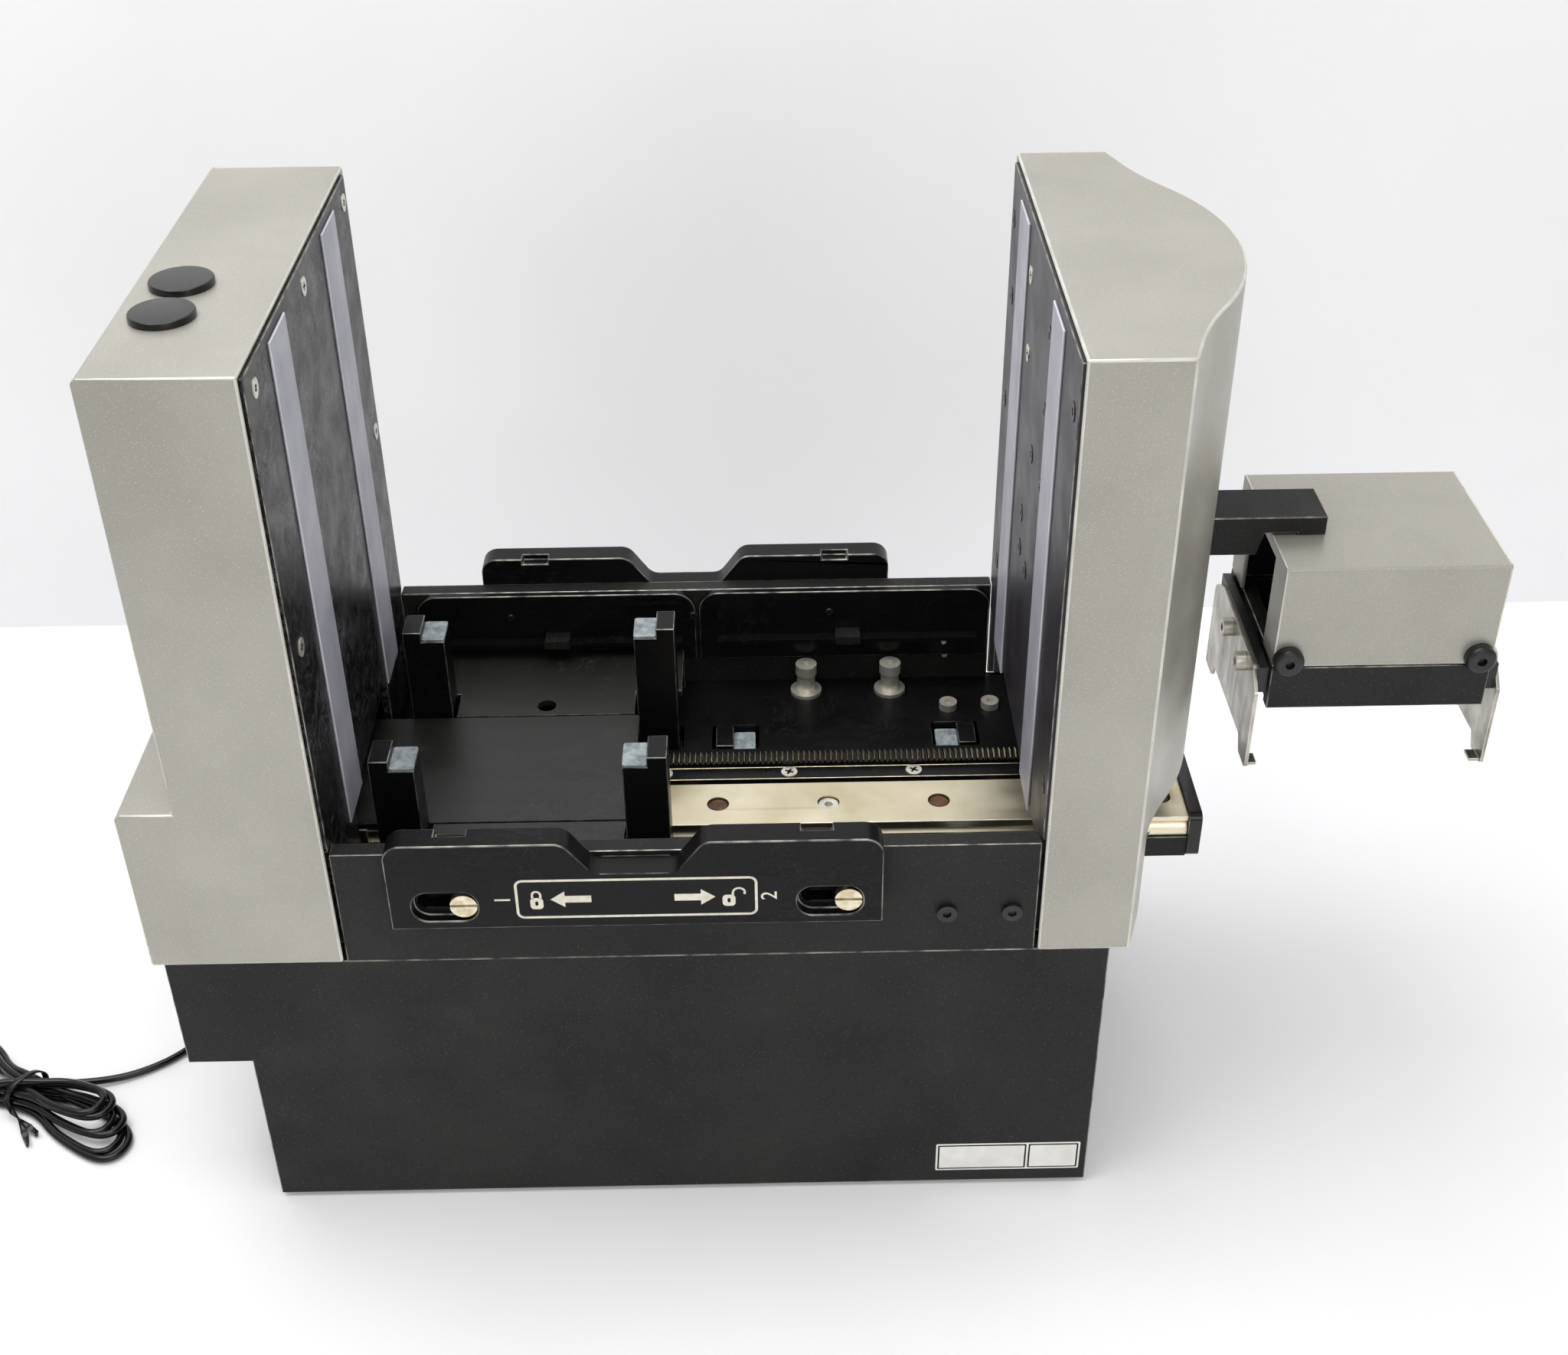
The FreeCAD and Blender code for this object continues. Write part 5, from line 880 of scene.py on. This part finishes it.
class STACKER_OT_base(bpy.types.Operator):
    """Dresses the powder-coated case, its feet, its back panel and the blank label"""

    bl_idname = "stacker.base"
    bl_label = "Base"

    def execute(self, context):
        sizes = context.scene.stacker_sizes
        dressed("base_enclosure", "black_powder_coat", sizes.corner)
        dressed("rear_panel", "black_powder_coat", 0.25)
        dressed("rear_sockets", "moulded_black_nylon", 0.4)
        dressed("rubber_feet", "moulded_rubber")
        pins = pin_field_tree()
        for number, x in enumerate((40.5, 70.5)):
            face = Matrix.Translation(at(x, 171.6, 32)) @ Matrix.Rotation(radians(90), 4, "X")
            grown(
                f"socket_pins_{number + 1}", pins,
                {
                    "Columns": 5, "Rows": 2, "Pitch": 0.0028, "Radius": 0.0005, "Depth": 0.005,
                    "Finish": finish("bearing_bronze"),
                },
                "root", "stainless", place=face,
            )
        for part, rects, inset, radius, lift, thick, look in (
            ("border", (LABEL,), 0.0, 0.6, 0.08, 0.1, "white_vinyl_sticker"),
            ("fields", LABEL_FIELDS, 0.0, 0.4, 0.12, 0.05, "black_print_field"),
            ("paper", LABEL_FIELDS, 0.6, 0.3, 0.16, 0.05, "white_vinyl_sticker"),
        ):
            shapes = [
                rounded((x0 + inset, x1 - inset), (z0 + inset, z1 - inset), radius)
                for (x0, x1), (z0, z1) in rects
            ]
            front = CASE_FRONT - lift
            flat_shapes("blank_label_" + part, shapes, front, thick, "root", "black_plastic", look)
        recoat("zinc_plated_sheet", "base_plate")
        recoat("green_solder_resist", "control_board")
        recoat("lacquered_motor", "lift_motors")
        recoat("polished_shaft", "guide_shafts")
        return {"FINISHED"}


# Small screws on the back wall: place in layout millimetres, radius, finish. Their profile gives the
# distance along, the share of the radius and the number of the finish.
BACK_WALL_SCREWS = (
    (43.9, 159.4, 151.2, 1.5, "black_oxide"), (116.0, 159.4, 150.9, 1.6, "black_oxide"),
    (169.8, 159.4, 151.6, 1.5, "black_oxide"), (215.6, 159.4, 136.5, 1.1, "turned_stainless"),
    (216.4, 162.4, 128.4, 1.3, "turned_stainless"),
)
SCREW_PROFILE = ((0, 1, 0), (0.9, 1, 0), (1.2, 0.85, 0), (1.2, 0.45, 1), (0.6, 0.4, 1))


class STACKER_OT_bays(bpy.types.Operator):
    """Dresses the two bays: walls, deck, floor plates and their screws"""

    bl_idname = "stacker.bays"
    bl_label = "Bays"

    def execute(self, context):
        sizes = context.scene.stacker_sizes
        dressed("front_wall", "black_powder_coat", sizes.corner)
        dressed("back_wall", "black_powder_coat", sizes.corner)
        dressed("back_liners", "satin_black_anodised", 0.35)
        dressed("deck_plate", "satin_black_anodised", 0.3)
        dressed("bay_floor_plates", "grey_anodised_plate", 0.3)
        ledges = [rounded(x, (139.6, 141.2), 0.4, 2) for x in ((18.7, 111.5), (125.0, 228.6))]
        tabs = [rounded((x - 5.0, x + 5.0), (140.2, 143.6), 0.5, 2) for x in (62.0, 177.0)]
        flat_shapes("back_ledges", ledges, 154.6, 4.8, "root", "black_anodised", "satin_black_anodised")
        flat_shapes("back_ledge_tabs", tabs, 152.2, 7.2, "root", "black_anodised", "grey_anodised_plate")
        for number, (x, y, z, radius, look) in enumerate(BACK_WALL_SCREWS):
            head = [(along, radius * share, part) for along, share, part in SCREW_PROFILE]
            turned(
                f"back_wall_screw_{number + 1}", head, at(x, y, z), (0, -1, 0), "root", "black_screw",
                (look, "recess_shadow"), 20,
            )
        front = at(0, 1, 0).y
        dressed(
            "body_screws", ("turned_stainless", "black_oxide"),
            paint=lambda side: int(side.center.y < front),
        )
        return {"FINISHED"}


# The right cover in layout millimetres: the bulge's middle and radius, the side wall, half the depth,
# the half depth where the long curve joins the bulge, the sheet and the reach of its folds.
BULGE_MIDDLE, BULGE_RADIUS, SIDE_WALL, HALF_DEPTH = 203.3, 92.0, 266.0, 84.85
JOIN, SHEET, FOLD_REACH = 50.0, 1.5, 3.5
# How steeply the curve leaves the corner and meets the bulge.
LEAVE, MEET = 0.30, 0.648


def eased_bulge(point):
    """Leads the right cover's side walls in one long curve from their corners into the bulge."""
    depth, x = abs(point.y) * 1000, point.x * 1000 + ORIGIN[0]
    if x < SIDE_WALL - FOLD_REACH or not JOIN < depth < HALF_DEPTH:
        return point
    span = HALF_DEPTH - JOIN
    t = (HALF_DEPTH - depth) / span
    rise = BULGE_MIDDLE + sqrt(BULGE_RADIUS**2 - JOIN**2) - SIDE_WALL
    curve = SIDE_WALL + rise * t * t * (3 - 2 * t) + span * t * (1 - t) * (LEAVE * (1 - t) - MEET * t)
    old = max(SIDE_WALL, BULGE_MIDDLE + sqrt(BULGE_RADIUS**2 - depth**2))
    inside = x < old - SHEET * 0.4
    return Vector(((curve - SHEET * inside - ORIGIN[0]) / 1000, point.y, point.z))


class STACKER_OT_towers(bpy.types.Operator):
    """Dresses the two towers: silver covers, black inner plates, guide strips and caps"""

    bl_idname = "stacker.towers"
    bl_label = "Towers"

    def execute(self, context):
        sizes = context.scene.stacker_sizes
        dressed("left_tower_cover", "satin_silver_enamel", sizes.fold)
        dressed("right_tower_cover", "satin_silver_enamel", sizes.fold, bend=eased_bulge)
        # The left panel's darker finish is painted shade, the right panel's lighter one painted light.
        dressed("left_tower_panel", "scratched_black_anodised", 0.35, 1.2)
        dressed("right_tower_panel", "dull_black_anodised", 0.35, 1.2)
        dressed("guide_strips", "pale_slide_strip", 0.3)
        dressed("top_hole_plugs", "moulded_black_nylon")
        recoat("zinc_plated_sheet", "left_tower_frame", "right_tower_frame")
        recoat("polished_shaft", "gripper_lead_screw")
        recoat("lacquered_motor", "gripper_motor")
        return {"FINISHED"}


# The rail's front and back and its clean bore's X, in layout millimetres.
RAIL_SPAN = (60, 70)
CLEAN_BORE = 166.3


def by_clean_bore(x):
    """Whether a scene X lies within a centimetre of the one bore that holds no grease."""
    return abs(x - at(CLEAN_BORE, 0, 0).x) <= 0.01


class STACKER_OT_carrier(bpy.types.Operator):
    """Dresses the rail, the rack and the carrier"""

    bl_idname = "stacker.carrier"
    bl_label = "Carrier"

    def execute(self, context):
        dressed("linear_rail", "ground_rail_steel", 0.3)
        dressed("gear_rack", "satin_black_anodised", 0.18, 1.0, "warm_nickel")
        dressed("rail_support", "black_powder_coat", 0.3)
        dressed("rail_end_cap", "moulded_black_nylon", 0.5)
        front, back = [at(0, y, 0).y for y in RAIL_SPAN]

        def bore(side):
            """The rail's screws lie in grease, apart from the one that is clean."""
            return int(front < side.center.y < back and not by_clean_bore(side.center.x))

        dressed("rail_and_rack_screws", ("turned_stainless", "greased_rail_bore"), paint=bore)
        dressed("carriage_block", "ground_rail_steel", 0.3)
        dressed("carrier_plate", "grey_anodised_plate", 0.3)
        dressed("carrier_motor", "lacquered_motor")
        dressed("drive_pinion", "bearing_bronze")
        return {"FINISHED"}


class STACKER_OT_lifters(bpy.types.Operator):
    """Dresses the two lifters: frames, pads, nuts and lead screws"""

    bl_idname = "stacker.lifters"
    bl_label = "Lifters"

    def execute(self, context):
        for side in ("input", "output"):
            dressed(f"{side}_lift_frame", "satin_black_anodised", 0.35)
            dressed(f"{side}_lift_pads", "milky_silicone_pad", 0.25)
            recoat("bearing_bronze", f"{side}_lift_nut")
            recoat("polished_shaft", f"{side}_lead_screw")
        return {"FINISHED"}


# Symbols on the front lock plate, in layout millimetres (X and Z).
LOCK_FACE = -9.0
FIELD = ((54.2, 148.6), (140.6, 157.6))
OUTLINE = ((62.4, 140.2), (141.4, 156.8))


def arrow(tip, head, tail, middle=148.9, half_head=3.3, half_shaft=1.4):
    """The outline of a plain arrow along X."""
    return [
        (tip, middle), (head, middle + half_head), (head, middle + half_shaft), (tail, middle + half_shaft),
        (tail, middle - half_shaft), (head, middle - half_shaft), (head, middle - half_head),
    ]


def padlock(left, opened):
    """A padlock on its side of the arrow: a round body, and a shackle that is shut or swung open."""
    body = rounded((left, left + 4.2), (144.9, 149.6), 1.3, 4)
    if opened:
        hoop = [(left + 3.4, 149.4)] + bow((left + 5.4, 150.4), 2.0, 180, 20) + [(left + 7.2, 149.8)]
    else:
        hoop = [(left + 0.8, 149.2)] + bow((left + 2.1, 150.9), 1.35, 180, 0) + [(left + 3.4, 149.2)]
    return [body] + stroke(hoop, 0.75)


def numeral(text, x, y=LOCK_FACE - 0.06, z=149.0, tall=7.5):
    """A plain number turned to read upwards, as a thin mesh on the plate's face."""
    letters = bpy.data.curves.new("number_" + text, "FONT")
    letters.body = text
    letters.size = tall / 1000
    letters.align_x = "CENTER"
    letters.align_y = "CENTER"
    letters.extrude = 0.00004
    mesh = plain(linked("number_draft", letters))
    turn = Matrix.Rotation(radians(90), 4, "X") @ Matrix.Rotation(radians(90), 4, "Z")
    mesh.transform(Matrix.Translation(at(x, y, z)) @ turn)
    return piece("number_" + text, mesh, "front_lock", "black_anodised", "warm_white_ink")


class STACKER_OT_locks(bpy.types.Operator):
    """Dresses the two lock plates and prints the arrows and padlocks on the front one"""

    bl_idname = "stacker.locks"
    bl_label = "Lock Plates"

    def execute(self, context):
        sizes = context.scene.stacker_sizes
        dressed("front_lock_plate", "satin_black_anodised", sizes.corner)
        dressed("back_lock_plate", "satin_black_anodised", sizes.corner)
        dressed("lock_screws", "warm_nickel", 0.3)
        ride = ("front_lock", "black_anodised")
        flat_shapes("print_field", [rounded(*FIELD, 2.0)], LOCK_FACE - 0.05, 0.06, *ride, "black_print_field")
        marks = stroke(rounded(*OUTLINE, 2.2), sizes.line, True)
        marks += [arrow(73.3, 78.0, 86.6), arrow(126.9, 122.2, 113.6)]
        marks += padlock(66.7, False) + padlock(129.2, True)
        flat_shapes("printed_symbols", marks, LOCK_FACE - 0.09, 0.05, *ride, "warm_white_ink")
        holes = [rounded((x, x + 1.0), (146.4, 148.2), 0.45, 3) for x in (68.3, 130.8)]
        flat_shapes("padlock_keyholes", holes, LOCK_FACE - 0.12, 0.04, *ride, "black_print_field")
        numeral("1", 58.0)
        numeral("2", 144.6)
        return {"FINISHED"}


class STACKER_OT_gripper(bpy.types.Operator):
    """Dresses the gripper: arm, head, knobs and claws"""

    bl_idname = "stacker.gripper"
    bl_label = "Gripper"

    def execute(self, context):
        dressed("gripper_cover", "satin_silver_enamel", 0.5)
        dressed("gripper_arm", "black_powder_coat", 0.4)
        dressed("gripper_frame", "black_powder_coat", 0.35)
        dressed("cover_knobs", "black_oxide")
        recoat("zinc_plated_sheet", "gripper_carriage")
        recoat("bearing_bronze", "grip_pinion")
        for side in ("left", "right"):
            dressed(f"{side}_claw", "brushed_claw_steel", 0.2)
            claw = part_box(f"{side}_claw")
            outer, sign = (claw[0].x, -1) if side == "left" else (claw[1].x, 1)

            def by_reach(face, outer=outer, sign=sign):
                """What stands past the claw's outer face is a steel screw, the rest the black bar."""
                return int((face.center.x - outer) * sign > -0.00005)

            dressed(f"{side}_claw_mount", ("black_oxide", "turned_stainless"), paint=by_reach)
        return {"FINISHED"}


class STACKER_OT_screws(bpy.types.Operator):
    """Dresses the small screws and lays a thin dark cross on the panel and rack screws' heads: painted shade
    of their cross recesses
    """

    bl_idname = "stacker.screws"
    bl_label = "Screws"

    def execute(self, context):
        sizes = context.scene.stacker_sizes

        def dull_ones(side):
            """The right tower's screws are black, apart from two."""
            bright = at(0, 103, 0).y < side.center.y < at(0, 113, 0).y and side.center.z > 0.28
            return int(side.center.x > 0 and not bright)

        dressed("panel_screws", ("turned_stainless", "black_oxide"), paint=dull_ones)
        recess = cross_recess_tree()
        on_panels, into_bay, on_rack, bores = [], [], [], []
        for low, high in islands("panel_screws"):
            left = high.x < 0
            on_panels.append((high.x if left else low.x, (low.y + high.y) / 2, (low.z + high.z) / 2))
            into_bay.append((1, 0, 0) if left else (-1, 0, 0))
        for low, high in islands("rail_and_rack_screws"):
            middle = ((low.x + high.x) / 2, (low.y + high.y) / 2, high.z)
            if low.y > at(0, 80, 0).y:
                on_rack.append(middle)
            elif not by_clean_bore(middle[0]):
                bores.append(middle)
        for name, points, ways, length, width, seed in (
            ("panel_recess_shades", on_panels, into_bay, 0.0028, 0.0006, 7),
            ("rack_recess_shades", on_rack, [(0, 0, 1)] * len(on_rack), 0.0061 * sizes.recess, 0.0009, 3),
        ):
            values = {
                "Length": length, "Width": width, "Depth": 0.00012, "Seed": seed,
                "Finish": finish("recess_shadow"),
            }
            grown(name, recess, values, "root", "stainless", points, ways)
        discs("bore_grease", bores, 3.55, 0.35, "root", "rail_steel", "greased_rail_bore")
        buttons = [at(x, 80.5, 120.8) for x in (115.7, 228.2)]
        discs("gap_screws", buttons, 3.0, 1.5, "root", "stainless", "turned_stainless", 0.55)
        return {"FINISHED"}


OPERATORS = (
    STACKER_OT_stage, STACKER_OT_lead, STACKER_OT_base, STACKER_OT_bays, STACKER_OT_towers,
    STACKER_OT_carrier, STACKER_OT_lifters, STACKER_OT_locks, STACKER_OT_gripper, STACKER_OT_screws,
)


class STACKER_PT_panel(bpy.types.Panel):
    """Sizes, lights and the steps that dress the stacker"""

    bl_idname = "STACKER_PT_panel"
    bl_label = "Microplate Stacker"
    bl_space_type = "VIEW_3D"
    bl_region_type = "UI"
    bl_category = "Stacker"

    def draw(self, context):
        layout = self.layout
        for group in (context.scene.stacker_sizes, context.scene.stacker_stage):
            box = layout.box()
            for name in group.__annotations__:
                box.prop(group, name)
        for operator in OPERATORS:
            layout.operator(operator.bl_idname)


CLASSES = (StackerSizes, StackerStage, *OPERATORS, STACKER_PT_panel)


def register():
    for item in CLASSES:
        bpy.utils.register_class(item)
    bpy.types.Scene.stacker_sizes = bpy.props.PointerProperty(type=StackerSizes)
    bpy.types.Scene.stacker_stage = bpy.props.PointerProperty(type=StackerStage)


def unregister():
    del bpy.types.Scene.stacker_stage
    del bpy.types.Scene.stacker_sizes
    for item in reversed(CLASSES):
        bpy.utils.unregister_class(item)


def main():
    register()
    for operator in OPERATORS:
        group, name = operator.bl_idname.split(".")
        getattr(getattr(bpy.ops, group), name)()


if __name__ == "__main__":
    main()
